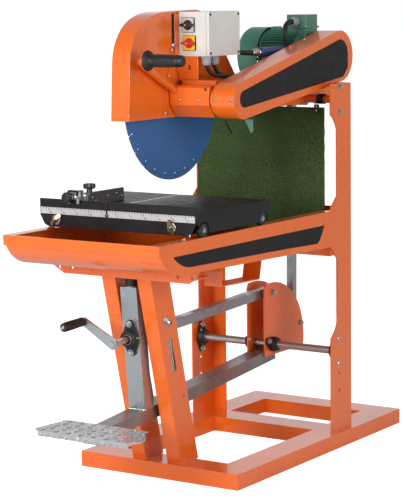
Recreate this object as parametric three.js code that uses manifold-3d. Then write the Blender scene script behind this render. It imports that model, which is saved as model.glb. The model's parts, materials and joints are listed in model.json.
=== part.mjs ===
// Masonry saw on a floor stand: a 500 mm blade on a tilting head, worked by a foot pedal.
// Millimetres, +Z up, +X to the operator's right, +Y away from the operator.
// The origin is on the floor under the middle of the base's centre bar, between the two columns.
import * as THREE from 'three';
import { mergeVertices } from 'three/addons/utils/BufferGeometryUtils.js';
import Module from 'manifold-3d';

const wasm = await Module();
wasm.setup();

// ---------- driving dimensions ----------
const GAP = 0.3;                    // clearance left between neighbouring pieces
const LEVER_X = -18;                // plane of the pedal lever, legs and lift rod

const BASE = { halfWidth: 295, front: -670, rear: 375, bar: 100, height: 50, wall: 4, drain: 7 };
const COLUMN = { outer: 275, web: 5, flange: 55, front: -65, waist: -22, rear: 68, top: 1193 };
const LEG = { width: 50, depth: 96, wall: 4, spread: 66, footFront: -648, lean: 0.245, top: 647.5 };
const TRAY = { halfWidth: 279, front: -1040, back: -68.5, rim: 786, wall: 2.5, flange: 35, lip: 31 };
const TRAY_REAR = { halfWidth: 267, back: 60 };
const TABLE = { halfWidth: 284, front: -862, back: -458, top: 861, lip: 878, sheet: 3 };
const WHEEL = { radius: 21, width: 16, x: 268, front: -819, rear: -497 };

const SHAFT = { y: -15, z: 317, radius: 12.5, halfLength: 262 };
const PIVOT = { y: -5, z: 1142, radius: 13.5 };
const LEVER = { tilt: 0.0908, tubeTop: -19, tubeHeight: 40, tubeWidth: 60, front: -975, rear: 26 };
const UPRIGHT = { front: -738, depth: 40, height: 383 };
const SPINDLE = { pinY: 5, pinZ: 173, tilt: -0.045, tube: 31, radius: 10 };
const CRANK = { length: 123, angle: 30, plane: -840, grip: 96 };
const PEDAL = { front: -1036, back: -918, sheet: 4, apron: 20 };
const ROD = { pinY: 187, pinZ: 43, side: 25, pin: 8 };
const PLATE = { radius: 208, front: -46, bottom: -38, inner: 30.5, sheet: 5 };

const ARBOR = { y: -519, z: 1165, radius: 12.5, bladeX: -31 };
const BLADE = { radius: 250, thickness: 3.6, slots: 26, slotDepth: 19, slotWidth: 3, keyhole: 3.1 };
const HOOD = { left: -66, right: 0, bottom: 1111, sheet: 2.5 };
const MOTOR = { y: 56, z: 1278, radius: 90, left: -20, right: 112, cowlEnd: -107 };
const BELT_GUARD = { inner: 158, outer: 235, frontRadius: 57, rearY: 70, rearRadius: 83, sheet: 2.5 };
const PULLEY = { left: 170, width: 40, arbor: 42, motor: 62, belt: 5 };
const ARM = { left: 22, right: 146, sheet: 4, deckTop: 1180 };
const BOX = { left: 5.3, right: 115, split: 104, front: -525, depth: 175, bottom: 1296, top: 1431 };
const GRIP = { y: -760, z: 1291, start: 50, end: 187, tube: 11 };
const FENCE = { x: -118, front: -845, back: -662, height: 38.5 };
const CURTAIN = { left: -256, right: 233, front: -36, back: -28, bottom: 700, top: 1116 };

// ---------- materials ----------
const finish = (color, roughness, metalness) =>
  new THREE.MeshStandardMaterial({ color, roughness, metalness });
const ORANGE = finish(0xe8642c, 0.35, 0.0);
const TABLE_BLACK = finish(0x232122, 0.55, 0.1);
const GALVANISED = finish(0xa9b0b3, 0.42, 0.9);
const BRIGHT_STEEL = finish(0xb4b4b6, 0.3, 1.0);
const CAST_BLACK = finish(0x2b2e2c, 0.6, 0.3);
const RUBBER = finish(0x1d1c1d, 0.75, 0.0);
const BLADE_BLUE = finish(0x3a5f95, 0.45, 0.3);
const MOTOR_GREEN = finish(0x3f7060, 0.5, 0.1);
const BOX_GREY = finish(0xc9cbc4, 0.5, 0.0);
const KNOB_BLACK = finish(0x1b1b1c, 0.4, 0.0);
const KNOB_RED = finish(0xc0331f, 0.4, 0.0);
const BRASS = finish(0xb9923f, 0.35, 0.9);
const MAT_GREEN = finish(0x27402a, 0.95, 0.0);

// ---------- shape helpers ----------
const SEGMENTS = 20;

/** Turns a closed three.js geometry into a solid that can be joined and cut. */
function solid(geometry) {
  const bare = geometry.clone();
  bare.deleteAttribute('normal');
  bare.deleteAttribute('uv');
  const merged = mergeVertices(bare, 1e-3);
  const corners = merged.index.array;
  const kept = [];
  for (let i = 0; i < corners.length; i += 3) {
    const [a, b, c] = corners.slice(i, i + 3);
    if (a !== b && b !== c && c !== a) kept.push(a, b, c);
  }
  return new wasm.Manifold(new wasm.Mesh({
    numProp: 3,
    vertProperties: Float32Array.from(merged.attributes.position.array),
    triVerts: Uint32Array.from(kept),
  }));
}

/** Turns a joined or cut solid back into a three.js geometry. */
function geometryOf(body) {
  const mesh = body.getMesh();
  const geometry = new THREE.BufferGeometry();
  geometry.setAttribute('position', new THREE.BufferAttribute(mesh.vertProperties, 3));
  geometry.setIndex(new THREE.BufferAttribute(mesh.triVerts, 1));
  geometry.computeVertexNormals();
  return geometry;
}

const joined = (...geometries) => geometries.map(solid).reduce((a, b) => a.add(b));
const cut = (body, ...geometries) => geometries.map(solid).reduce((a, b) => a.subtract(b), body);

/** A block from its low corner to its high corner. */
function block([x0, x1], [y0, y1], [z0, z1]) {
  return new THREE.BoxGeometry(x1 - x0, y1 - y0, z1 - z0)
    .translate((x0 + x1) / 2, (y0 + y1) / 2, (z0 + z1) / 2);
}

/** A round bar along X, Y or Z, from one end to the other, through the point (a, b). */
function bar(axis, [from, to], radius, a, b, segments = SEGMENTS) {
  const cylinder = new THREE.CylinderGeometry(radius, radius, to - from, segments);
  const middle = (from + to) / 2;
  if (axis === 'x') return cylinder.rotateZ(-Math.PI / 2).translate(middle, a, b);
  if (axis === 'y') return cylinder.translate(a, middle, b);
  return cylinder.rotateX(Math.PI / 2).translate(a, b, middle);
}

/** A turned piece along +X through (y, z); the profile is [radius, x] pairs. */
function turned(profile, y, z, segments = SEGMENTS) {
  const points = profile.map(([radius, x]) => new THREE.Vector2(radius, x));
  return new THREE.LatheGeometry(points, segments).rotateZ(-Math.PI / 2).translate(0, y, z);
}

const polygon = (points) => new THREE.Shape(points.map(([a, b]) => new THREE.Vector2(a, b)));

/** Extrudes a side view, drawn in (y, z), from x0 to x1. */
function sideSheet(shape, x0, x1, curveSegments = 6) {
  const toSide = new THREE.Matrix4().makeBasis(
    new THREE.Vector3(0, 1, 0), new THREE.Vector3(0, 0, 1), new THREE.Vector3(1, 0, 0));
  return new THREE.ExtrudeGeometry(shape, { depth: x1 - x0, bevelEnabled: false, curveSegments })
    .applyMatrix4(toSide).translate(x0, 0, 0);
}

/** Extrudes a front view, drawn in (x, z), from y0 back to y1. */
function frontSheet(shape, y0, y1, curveSegments = 6) {
  return new THREE.ExtrudeGeometry(shape, { depth: y1 - y0, bevelEnabled: false, curveSegments })
    .rotateX(Math.PI / 2).translate(0, y1, 0);
}

/** Extrudes a plan view, drawn in (x, y), from z0 up to z1. */
function planSheet(shape, z0, z1, curveSegments = 6) {
  return new THREE.ExtrudeGeometry(shape, { depth: z1 - z0, bevelEnabled: false, curveSegments })
    .translate(0, 0, z0);
}

/** The outline of a belt round two circles, as a closed shape in (y, z). */
function beltOutline([y0, z0, r0], [y1, z1, r1]) {
  const along = Math.atan2(z1 - z0, y1 - y0);
  const spread = Math.acos((r0 - r1) / Math.hypot(y1 - y0, z1 - z0));
  const shape = new THREE.Shape();
  shape.absarc(y0, z0, r0, along + spread, along - spread + 2 * Math.PI, false);
  shape.absarc(y1, z1, r1, along - spread, along + spread, false);
  shape.closePath();
  return shape;
}

/** A rectangle centred on (a, b) as a shape. */
function rectangle(a, b, width, height) {
  return polygon([[a - width / 2, b - height / 2], [a + width / 2, b - height / 2],
    [a + width / 2, b + height / 2], [a - width / 2, b + height / 2]]);
}

/** A slot with round ends along the second direction, centred on (a, b). */
function obround(a, b, width, length) {
  const half = (length - width) / 2;
  const shape = new THREE.Shape();
  shape.absarc(a, b + half, width / 2, 0, Math.PI, false);
  shape.absarc(a, b - half, width / 2, Math.PI, 2 * Math.PI, false);
  shape.closePath();
  return shape;
}

const saw = new THREE.Group();

/** Adds one named piece to a group. */
function add(name, material, shape, group = saw) {
  const geometry = shape instanceof THREE.BufferGeometry ? shape : geometryOf(shape);
  const mesh = new THREE.Mesh(geometry, material);
  mesh.name = name;
  group.add(mesh);
  return mesh;
}

// ---------- floor frame, columns and legs ----------
/** Plan of the base: a rectangle of tubes with one more across the middle, drawn in by an inset. */
function basePlan(inset) {
  const { halfWidth, front, rear, bar: width } = BASE;
  const outline = rectangle(0, (front + rear) / 2, 2 * (halfWidth - inset), rear - front - 2 * inset);
  const windows = [[front + width, -width / 2], [width / 2, rear - width]];
  for (const [from, to] of windows) {
    outline.holes.push(rectangle(0, (from + to) / 2,
      2 * (halfWidth - width + inset), to - from + 2 * inset));
  }
  return outline;
}

/** Welded rectangular tube, with a drain hole under each corner. */
function baseFrame() {
  const { halfWidth, front, rear, bar: width, height, wall, drain } = BASE;
  const corners = [-1, 1].flatMap((side) => [front, rear].map((y) => [
    side * (halfWidth - width / 2), y + (y < 0 ? width : -width) / 2]));
  const drains = corners.map(([x, y]) => bar('z', [-1, wall + 1], drain, x, y, 12));
  return cut(solid(planSheet(basePlan(0), 0, height)),
    planSheet(basePlan(wall), wall, height - wall), ...drains);
}

function column(side) {
  const foot = BASE.height + GAP;
  const shape = new THREE.Shape();
  shape.moveTo(COLUMN.rear, foot);
  shape.lineTo(COLUMN.rear, COLUMN.top);
  shape.lineTo(COLUMN.front, COLUMN.top);
  shape.lineTo(COLUMN.front, 1095);
  shape.quadraticCurveTo(COLUMN.waist - 6, 1072, COLUMN.waist, 1030);
  shape.lineTo(COLUMN.waist, 833);
  shape.lineTo(COLUMN.front, 794);
  shape.lineTo(COLUMN.front, 664);
  shape.lineTo(COLUMN.waist, 622);
  shape.lineTo(COLUMN.waist, 426);
  shape.quadraticCurveTo(COLUMN.waist - 6, 390, COLUMN.front, 366);
  shape.lineTo(COLUMN.front, foot);
  const inner = COLUMN.outer - COLUMN.web;
  const web = sideSheet(shape, inner, COLUMN.outer, 8);
  const flange = block([COLUMN.outer - COLUMN.flange, COLUMN.outer],
    [COLUMN.rear - COLUMN.web, COLUMN.rear], [foot, COLUMN.top]);
  const spareHoles = [244, 186].map((z) => bar('x', [inner - 1, COLUMN.outer + 1], 5.5, -13, z, 16));
  const body = cut(joined(web, flange), ...spareHoles);
  return side > 0 ? body : body.mirror([1, 0, 0]);
}

function crossTube() {
  const reach = COLUMN.outer - COLUMN.web - GAP;
  const pad = 8;
  const plates = [-1, 1].map((side) => sideSheet(obround(PIVOT.y, PIVOT.z, 46, 112),
    side > 0 ? reach - pad : -reach, side > 0 ? reach : pad - reach));
  return joined(bar('x', [1 - reach, reach - 1], PIVOT.radius, PIVOT.y, PIVOT.z), ...plates);
}

function leg(side) {
  const foot = BASE.height + GAP;
  const x = LEVER_X + side * LEG.spread;
  const y = LEG.footFront + LEG.depth / 2;
  const section = rectangle(x, y, LEG.width, LEG.depth);
  section.holes.push(rectangle(x, y, LEG.width - 2 * LEG.wall, LEG.depth - 2 * LEG.wall));
  const shear = new THREE.Matrix4().makeShear(0, 0, 0, 0, 0, 0);
  shear.elements[9] = -LEG.lean;
  shear.elements[13] = LEG.lean * foot;
  const tube = planSheet(section, foot, LEG.top).applyMatrix4(shear);
  if (side < 0) return tube;
  const centre = (z) => y - LEG.lean * (z - foot);
  const wall = [x + LEG.width / 2 - LEG.wall - 1, x + LEG.width / 2 + 1];
  const slot = sideSheet(obround(0, 0, 20, 112), ...wall)
    .rotateX(Math.atan(LEG.lean)).translate(0, centre(398), 398);
  return cut(solid(tube), slot, bar('x', wall, 6, centre(503), 503, 20));
}

function frontCrossAngle() {
  const [left, right] = [-285, 248];
  const face = polygon([[left, 685], [left, 666], [left + 41, 643], [right - 30, 643],
    [right, 661], [right, 685]]);
  for (const x of [-260, -211, 179, 229]) {
    const hole = new THREE.Path();
    hole.absarc(x, 660.5, 5, 0, 2 * Math.PI, false);
    face.holes.push(hole);
  }
  const shelf = block([left + 44, right - 30], [-803.5, -700], [648, 652]);
  return joined(frontSheet(face, -804, -800, 6), shelf);
}

const rearCrossBar = () => block([-269.7, 269.7], [-62, -22], [636, 664]);

/** Height of the tray's sloping underside at y. */
const trayFloor = (y) => 689 - 0.0245 * (y + 925);

function trayProfile(inset) {
  const front = TRAY.front + inset;
  const shape = new THREE.Shape();
  shape.moveTo(front, TRAY.rim + (inset ? 5 : 0));
  shape.lineTo(front, TRAY.rim - TRAY.lip);
  shape.bezierCurveTo(front + 6, 735, front + 62, trayFloor(-925) + inset, -925, trayFloor(-925) + inset);
  shape.lineTo(TRAY.back, trayFloor(TRAY.back) + inset);
  shape.lineTo(TRAY.back, TRAY.rim + (inset ? 5 : 0));
  return shape;
}

function tray() {
  const { halfWidth, wall, front, back, rim, flange, lip } = TRAY;
  const rear = TRAY_REAR;
  const floor = trayFloor(back);
  const outer = joined(
    sideSheet(trayProfile(0), -halfWidth, halfWidth, 8),
    block([-rear.halfWidth, rear.halfWidth], [back - 1, rear.back], [floor, rim]),
    block([-halfWidth - 2, halfWidth + 2], [front - 3, front + 1], [rim - lip, rim]),
    ...[-1, 1].map((side) => block(
      side > 0 ? [halfWidth - 1, halfWidth + 3] : [-halfWidth - 3, 1 - halfWidth],
      [front - 3, back], [rim - 13, rim])));
  const inside = halfWidth - wall;
  const mouth = halfWidth - flange;
  const cavity = sideSheet(trayProfile(wall), -inside, inside, 8);
  const hollow = cut(outer,
    cavity,
    block([wall - rear.halfWidth, rear.halfWidth - wall], [back - wall - 1, rear.back - wall],
      [floor + wall, rim + 5]));
  const rails = [-1, 1].map((side) => block(
    side > 0 ? [mouth, halfWidth - 1] : [1 - halfWidth, -mouth],
    [front + 1, back], [rim - wall, rim]));
  return [...rails, trayStrap()].map(solid).reduce((a, b) => a.add(b), hollow);
}

/** The strap welded under the right side of the tray. */
function trayStrap() {
  const thick = 4;
  const strap = polygon([[-642, 683], [-642, 612], [-424, 606], [-408, 677.5], [-412, 677.5],
    [-427, 606 + thick], [-642 + thick, 612 + thick], [-642 + thick, 683]]);
  return sideSheet(strap, 163, 226);
}

function shaftBearing(side) {
  const wallX = COLUMN.outer - COLUMN.web - GAP;
  const flange = sideSheet(obround(SHAFT.y, SHAFT.z, 58, 112), wallX - 13, wallX);
  const boss = bar('x', [wallX - 32, wallX - 12], 27, SHAFT.y, SHAFT.z);
  const body = cut(joined(flange, boss),
    bar('x', [wallX - 40, wallX + 2], SHAFT.radius + GAP, SHAFT.y, SHAFT.z));
  return side > 0 ? body : body.mirror([1, 0, 0]);
}

// ---------- pedal lever, drawn about the shaft and then tilted ----------
const lever = new THREE.Group();
lever.position.set(LEVER_X, SHAFT.y, SHAFT.z);
saw.add(lever);
const leverArm = new THREE.Group();
leverArm.rotation.x = LEVER.tilt;
lever.add(leverArm);
const spindleLine = new THREE.Group();
spindleLine.position.set(0, SPINDLE.pinY, SPINDLE.pinZ);
spindleLine.rotation.x = SPINDLE.tilt;
leverArm.add(spindleLine);

/** A rectangular tube along Y with open ends. */
function tubeAlongY(width, height, wall, [y0, y1], z) {
  const section = rectangle(0, z, width, height);
  section.holes.push(rectangle(0, z, width - 2 * wall, height - 2 * wall));
  return frontSheet(section, y0, y1);
}

function pedalShaft() {
  const centre = -LEVER_X;
  const long = bar('x', [centre - SHAFT.halfLength, centre + SHAFT.halfLength], SHAFT.radius, 0, 0);
  const collar = bar('x', [-58, -38], 19, 0, 0);
  return joined(long, collar);
}

function pivotPlate(side) {
  const { radius, front, bottom, inner, sheet } = PLATE;
  const shape = new THREE.Shape();
  shape.moveTo(front, bottom);
  shape.lineTo(front, 180);
  const start = Math.PI * 0.545;
  shape.quadraticCurveTo(front, 203, radius * Math.cos(start), radius * Math.sin(start));
  shape.absarc(0, 0, radius, start, -0.09, true);
  shape.quadraticCurveTo(206, bottom, 190, bottom);
  for (const [y, z, r] of [[0, 0, SHAFT.radius + GAP], [ROD.pinY, ROD.pinZ, ROD.pin + GAP]]) {
    const hole = new THREE.Path();
    hole.absarc(y, z, r, 0, 2 * Math.PI, false);
    shape.holes.push(hole);
  }
  return sideSheet(shape, side > 0 ? inner : -inner - sheet, side > 0 ? inner + sheet : -inner, 8);
}

function leverTube() {
  const { tubeWidth, tubeHeight, tubeTop, front, rear } = LEVER;
  return tubeAlongY(tubeWidth, tubeHeight, 3, [front, rear], tubeTop - tubeHeight / 2);
}

function uprightTube() {
  const { front, depth, height } = UPRIGHT;
  const foot = LEVER.tubeTop + GAP;
  const section = rectangle(0, front + depth / 2, LEVER.tubeWidth, depth);
  const inside = rectangle(0, front + depth / 2, LEVER.tubeWidth - 6, depth - 6);
  const body = cut(solid(planSheet(section, foot, foot + height)),
    planSheet(inside, foot - 1, foot + height - 3));
  const spindleHole = bar('y', [front - 1, front + depth + 1], 15, 0, 207, 24);
  return cut(body, spindleHole);
}

function stopBuffer() {
  const foot = LEVER.tubeTop + UPRIGHT.height + 2 * GAP;
  return bar('z', [foot, foot + 26], 19, 0, UPRIGHT.front + UPRIGHT.depth / 2, 24);
}

function spindleTube() {
  const front = UPRIGHT.front + UPRIGHT.depth - SPINDLE.pinY + 3;
  return tubeAlongY(SPINDLE.tube, SPINDLE.tube, 3, [front, 22], 0);
}

function crankBearing() {
  const face = UPRIGHT.front - GAP;
  const flange = frontSheet(obround(0, 207, 60, 113), face - 13, face);
  const boss = bar('y', [face - 32, face - 12], 27, 0, 207);
  return cut(joined(flange, boss), bar('y', [face - 40, face + 2], SPINDLE.radius + 2.5, 0, 207, 24));
}

function pedalPlate() {
  const { front, back, sheet, apron } = PEDAL;
  const top = LEVER.tubeTop + GAP;
  const outline = polygon([[-128, back], [-172, front + 16], [-150, front], [178, front],
    [205, front + 26], [206, front + 51], [160, back]]);
  const skirt = block([-150, 178], [front, front + sheet], [top - apron, top + 1]);
  return joined(planSheet(outline, top, top + sheet), skirt);
}

const rodPin = () => bar('x', [-44, 44], ROD.pin, ROD.pinY, ROD.pinZ, 20);

// ---------- crank ----------
function crankSpindle() {
  const front = CRANK.plane - 6;
  return turned([[0, front], [8, front], [8, front + 16], [SPINDLE.radius, front + 18],
    [SPINDLE.radius, -SPINDLE.pinY - 20], [0, -SPINDLE.pinY - 20]], 0, 0, 20).rotateZ(Math.PI / 2);
}

function crankArm() {
  const { length, plane } = CRANK;
  const outline = beltOutline([0, 0, 16], [length, 0, 11]);
  const bore = new THREE.Path();
  bore.absarc(0, 0, 8 + GAP, 0, 2 * Math.PI, false);
  outline.holes.push(bore);
  const web = frontSheet(outline, plane - 2, plane + 8, 8);
  const stud = bar('y', [plane - CRANK.grip - 8, plane], 5, length, 0, 16);
  return joined(web, stud);
}

function crankGrip() {
  const end = CRANK.plane - 4;
  const start = end - CRANK.grip;
  const profile = [[5 + GAP, start], [10, start], [14, start + 5], [14.5, start + 40],
    [13.5, end - 30], [14, end - 4], [11, end], [5 + GAP, end], [5 + GAP, start]];
  return turned(profile, 0, 0, 24).rotateZ(Math.PI / 2).translate(CRANK.length, 0, 0);
}

// ---------- lift rod ----------
const ROD_TOP = { y: PIVOT.y + ROD.pinY, z: PIVOT.z + ROD.pinZ };
const ROD_FOOT = { y: SHAFT.y + ROD.pinY, z: SHAFT.z + ROD.pinZ };
const ROD_LENGTH = Math.hypot(ROD_TOP.y - ROD_FOOT.y, ROD_TOP.z - ROD_FOOT.z);

function liftRod() {
  const half = ROD.side / 2;
  const stick = block([-half, half], [-half, half], [-20, ROD_LENGTH + 17]);
  return cut(solid(stick), bar('x', [-20, 20], ROD.pin + GAP, 0, 0, 20),
    bar('x', [-20, 20], ROD.pin + 1.5, 0, ROD_LENGTH, 20));
}

// ---------- tilting head ----------
function headArm() {
  const { left, right, sheet, deckTop } = ARM;
  const deckFoot = deckTop - 8;
  const profile = (inset) => polygon([
    [-538 + inset, 1118 - inset], [-538 + inset, 1224 - inset], [-330, 1224 - inset],
    [-72, deckTop - 6 - inset], [204, deckTop - 6 - inset], [204, 1130 - inset], [-90, 1127 - inset]]);
  const channel = cut(solid(sideSheet(profile(0), left, right)),
    sideSheet(profile(sheet), left + sheet, right - sheet),
    block([left + sheet, right - sheet], [190, 210], [1100, deckTop - 6 - sheet]));
  const sidePlate = sideSheet(beltOutline([ARBOR.y, ARBOR.z, 50], [MOTOR.y, MOTOR.z, 74]),
    right - 1, BELT_GUARD.inner - 2 * GAP, 10);
  const deck = block([-72, right], [-62, 204], [deckFoot, deckTop]);
  const lugs = [[-38, -32], [-4, 2]].map((x) => block(x, [160, 204], [deckFoot, deckTop + 24]));
  const hub = bar('x', [left - 10, right + 3], 22, PIVOT.y, PIVOT.z);
  const housing = bar('x', [0.3, right], 38, ARBOR.y, ARBOR.z);
  const weldment = [sidePlate, deck, ...lugs, hub, housing].map(solid).reduce((a, b) => a.add(b), channel);
  const through = BELT_GUARD.inner + 1;
  return cut(weldment,
    bar('x', [left - 20, through], PIVOT.radius + GAP, PIVOT.y, PIVOT.z),
    bar('x', [-9, through], 16, ARBOR.y, ARBOR.z),
    bar('x', [right - 9, through], 22, MOTOR.y, MOTOR.z),
    bar('x', [-50, 10], ROD.pin + GAP, ROD_TOP.y, ROD_TOP.z, 20),
    block([-32, -4], [162, 230], [deckFoot - 1, deckTop + 1]));
}

const rodTopPin = () => bar('x', [-43, 7], ROD.pin, ROD_TOP.y, ROD_TOP.z, 20);

function arborCover() {
  const outer = [[-542, 1112], [-575, 1150], [-575, 1203], [-566, 1210], [-551, 1210]];
  const inner = [[-551, 1207.5], [-565, 1207.5], [-572.5, 1202], [-572.5, 1151], [-542, 1115.8]];
  const body = sideSheet(polygon([...outer, ...inner]), 2.5, 144.5);
  const ends = [[2.5, 5], [142, 144.5]].map(([x0, x1]) => sideSheet(
    polygon([[-559, 1134], [-574, 1151], [-574, 1203], [-566, 1209], [-559, 1209]]), x0, x1));
  return joined(body, ...ends);
}

function beltGuard() {
  const { inner, outer, frontRadius, rearY, rearRadius, sheet } = BELT_GUARD;
  const hull = (inset) => beltOutline([ARBOR.y, ARBOR.z, frontRadius - inset],
    [rearY, MOTOR.z, rearRadius - inset]);
  return cut(solid(sideSheet(hull(0), inner, outer, 12)),
    sideSheet(hull(sheet), inner - 1, outer - sheet, 12));
}

/** Side view of the blade hood; inset draws the room inside its sheet. */
function hoodProfile(inset) {
  const shape = new THREE.Shape();
  shape.moveTo(-787 + inset, HOOD.bottom - 2 * inset);
  shape.lineTo(-777 + inset, 1285);
  shape.bezierCurveTo(-768 + inset, 1372 - inset, -700, 1426 - inset, -591, 1432 - inset);
  shape.lineTo(-430, 1436 - inset);
  shape.quadraticCurveTo(-372 - inset / 2, 1434 - inset, -338 - inset, 1400);
  shape.lineTo(-200 - inset, 1226);
  shape.lineTo(-200 - inset, HOOD.bottom - 2 * inset);
  return shape;
}

/** The hood's seam runs from its lower edge, sloping back to its top. */
function seamCutter(keepFront, overlap) {
  const low = -622 + overlap;
  const high = -535 + overlap;
  const far = keepFront ? 900 : -900;
  return sideSheet(polygon([[low, 1050], [high, 1460], [high + far, 1460], [low + far, 1050]]),
    HOOD.left - 10, HOOD.right + 10);
}

function hoodShell() {
  return cut(solid(sideSheet(hoodProfile(0), HOOD.left, HOOD.right, 10)),
    sideSheet(hoodProfile(HOOD.sheet), HOOD.left + HOOD.sheet, HOOD.right - HOOD.sheet, 10));
}

const bladeGuardFront = () => cut(hoodShell(), seamCutter(true, 0));

function bladeGuardRear() {
  return cut(hoodShell(), seamCutter(false, GAP),
    bar('x', [HOOD.right - 9, HOOD.right + 9], 20, ARBOR.y, ARBOR.z));
}

function handleTube() {
  const start = new THREE.Vector3(20, -562, 1190);
  const corner = new THREE.Vector3(15, GRIP.y, GRIP.z);
  const bendStart = corner.clone().lerp(start, 0.16);
  const bendEnd = new THREE.Vector3(44, GRIP.y, GRIP.z);
  const end = new THREE.Vector3(GRIP.end - 6, GRIP.y, GRIP.z);
  const route = new THREE.CurvePath();
  route.add(new THREE.LineCurve3(start, bendStart));
  route.add(new THREE.QuadraticBezierCurve3(bendStart, corner, bendEnd));
  route.add(new THREE.LineCurve3(bendEnd, end));
  const ring = new THREE.Shape();
  ring.absarc(0, 0, GRIP.tube, 0, 2 * Math.PI, false);
  const tube = new THREE.ExtrudeGeometry(ring, { extrudePath: route, steps: 16, curveSegments: 6 });
  return cut(solid(tube), block([2, 60], [-575.4, -500], [1100, 1260]));
}

function handleGrip() {
  const { start, end, tube } = GRIP;
  const bore = tube + GAP;
  const profile = [[bore, start], [29, start], [31, start + 4], [29, start + 9], [18, start + 15],
    [17, start + 40], [20, start + 75], [17.5, end - 26], [22, end - 12], [20, end], [0, end],
    [0, end - 4], [bore, end - 4], [bore, start]];
  return turned(profile, GRIP.y, GRIP.z);
}

function boxBracket() {
  const wing = sideSheet(polygon([[-547, 1300], [-547, 1424], [-380, 1424], [-380, 1228], [-524, 1228]]),
    2, 5);
  const face = polygon([[2.5, 1224.4], [76, 1224.4], [76, 1295.6], [2.5, 1295.6]]);
  face.holes.push(obround(44, 1262, 9, 16));
  const foot = block([22, 76], [-527.5, -480], [1224.4, 1227]);
  return joined(wing, frontSheet(face, -528, -525), foot);
}

/** One half of the switch box: a rounded shell open towards the other half. */
function boxShell(x0, x1, openSide) {
  const { front, depth, bottom, top } = BOX;
  const wall = 3;
  const middle = [front + depth / 2, (bottom + top) / 2];
  const inside = openSide > 0 ? [x0 + wall, x1 + 1] : [x0 - 1, x1 - wall];
  return cut(solid(sideSheet(rectangle(...middle, depth, top - bottom), x0, x1)),
    sideSheet(rectangle(...middle, depth - 2 * wall, top - bottom - 2 * wall), ...inside));
}

function controlBox() {
  const holes = [[41, 1391], [45, 1336]].map(([x, z]) => bar('y',
    [BOX.front - 2, BOX.front + 8], 6, x, z, 16));
  return cut(boxShell(BOX.left, BOX.split, 1), ...holes);
}

const controlBoxLid = () => boxShell(BOX.split + GAP, BOX.right, -1);

/** A rotary switch knob on the box front: a turned skirt with a pinch bar across it. */
function switchKnob(angle) {
  const skirt = turned([[0, 0], [19, 0], [18, -6], [13, -9], [0, -9]].map(([r, y]) => [r, -y]), 0, 0, 24)
    .rotateZ(-Math.PI / 2);
  const pinch = block([-4.5, 4.5], [-22, -8], [-18, 18]).rotateY(angle);
  const stem = bar('y', [-1, 6], 5.5, 0, 0, 16);
  return joined(skirt, pinch, stem);
}

function motorBody() {
  const { y, z, radius, left, right } = MOTOR;
  const fins = 24;
  const outline = [];
  for (let i = 0; i < fins; i += 1) {
    const turn = 2 * Math.PI / fins;
    for (const [step, r] of [[-0.3, radius - 13], [-0.17, radius], [0.17, radius], [0.3, radius - 13]]) {
      const angle = (i + step) * turn;
      outline.push([y + r * Math.cos(angle), z + r * Math.sin(angle)]);
    }
  }
  const feet = [-44, 44].map((dy) => block([left + 6, 95], [y + dy - 22, y + dy + 22],
    [ARM.deckTop + GAP, 1222]));
  const pad = block([64, 134], [y - 34, y + 34], [1330, 1369]);
  const shield = turned([[0, right - 2], [82, right - 2], [82, right + 12], [60, right + 24],
    [34, right + 28], [0, right + 28]], y, z);
  const housing = bar('x', [left, left + 8], radius - 2, y, z);
  return cut(joined(sideSheet(polygon(outline), left, right), housing, ...feet, pad, shield),
    bar('x', [60, right + 40], 15, y, z, 24));
}

function fanCowl() {
  const { y, z, left, cowlEnd } = MOTOR;
  return turned([[0, cowlEnd], [66, cowlEnd], [86, cowlEnd + 7], [95, cowlEnd + 22], [95, left - GAP],
    [92.5, left - GAP], [92.5, cowlEnd + 23], [84, cowlEnd + 9.5], [65, cowlEnd + 2.5],
    [0, cowlEnd + 2.5]], y, z, 28);
}

function terminalBox() {
  const { y } = MOTOR;
  return joined(block([61, 137], [y - 38, y + 38], [1372, 1414]),
    block([57, 141], [y - 42, y + 42], [1369.4, 1375]));
}

function driveBelt() {
  const { left, width, arbor, motor, belt } = PULLEY;
  const outline = (r) => beltOutline([ARBOR.y, ARBOR.z, arbor + r], [MOTOR.y, MOTOR.z, motor + r]);
  const loop = outline(belt);
  loop.holes.push(outline(0.4));
  return sideSheet(loop, left + 2, left + width - 2, 8);
}

function pulley(radius, y, z, bore) {
  const { left, width } = PULLEY;
  const right = left + width;
  return turned([[bore, left], [radius, left], [radius, right], [radius - 8, right],
    [radius - 10, right - 8], [bore + 12, right - 8], [bore + 10, right], [bore, right],
    [bore, left]], y, z);
}

const arborPulley = () => pulley(PULLEY.arbor, ARBOR.y, ARBOR.z, ARBOR.radius + GAP);

function motorPulley() {
  const { y, z } = MOTOR;
  const shaft = bar('x', [66, PULLEY.left + PULLEY.width + 4], 13.5, y, z, 24);
  return joined(pulley(PULLEY.motor, y, z, 13), shaft);
}

function arborShaft() {
  const { y, z, radius, bladeX } = ARBOR;
  const seat = bladeX + BLADE.thickness / 2 + GAP;
  return turned([[0, -58], [10, -58], [10, seat - 14], [radius, seat - 13], [radius, seat],
    [48, seat], [50, seat + 5], [30, seat + 10], [15, seat + 12], [15, 152], [radius, 154],
    [radius, 224], [0, 224]], y, z);
}

function bladeFlange() {
  const { y, z, radius, bladeX } = ARBOR;
  const seat = bladeX - BLADE.thickness / 2 - GAP;
  const bore = radius + GAP;
  return turned([[bore, seat - 18], [19, seat - 18], [19, seat - 8], [46, seat - 6], [50, seat - 4],
    [50, seat], [bore, seat], [bore, seat - 18]], y, z);
}

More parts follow.
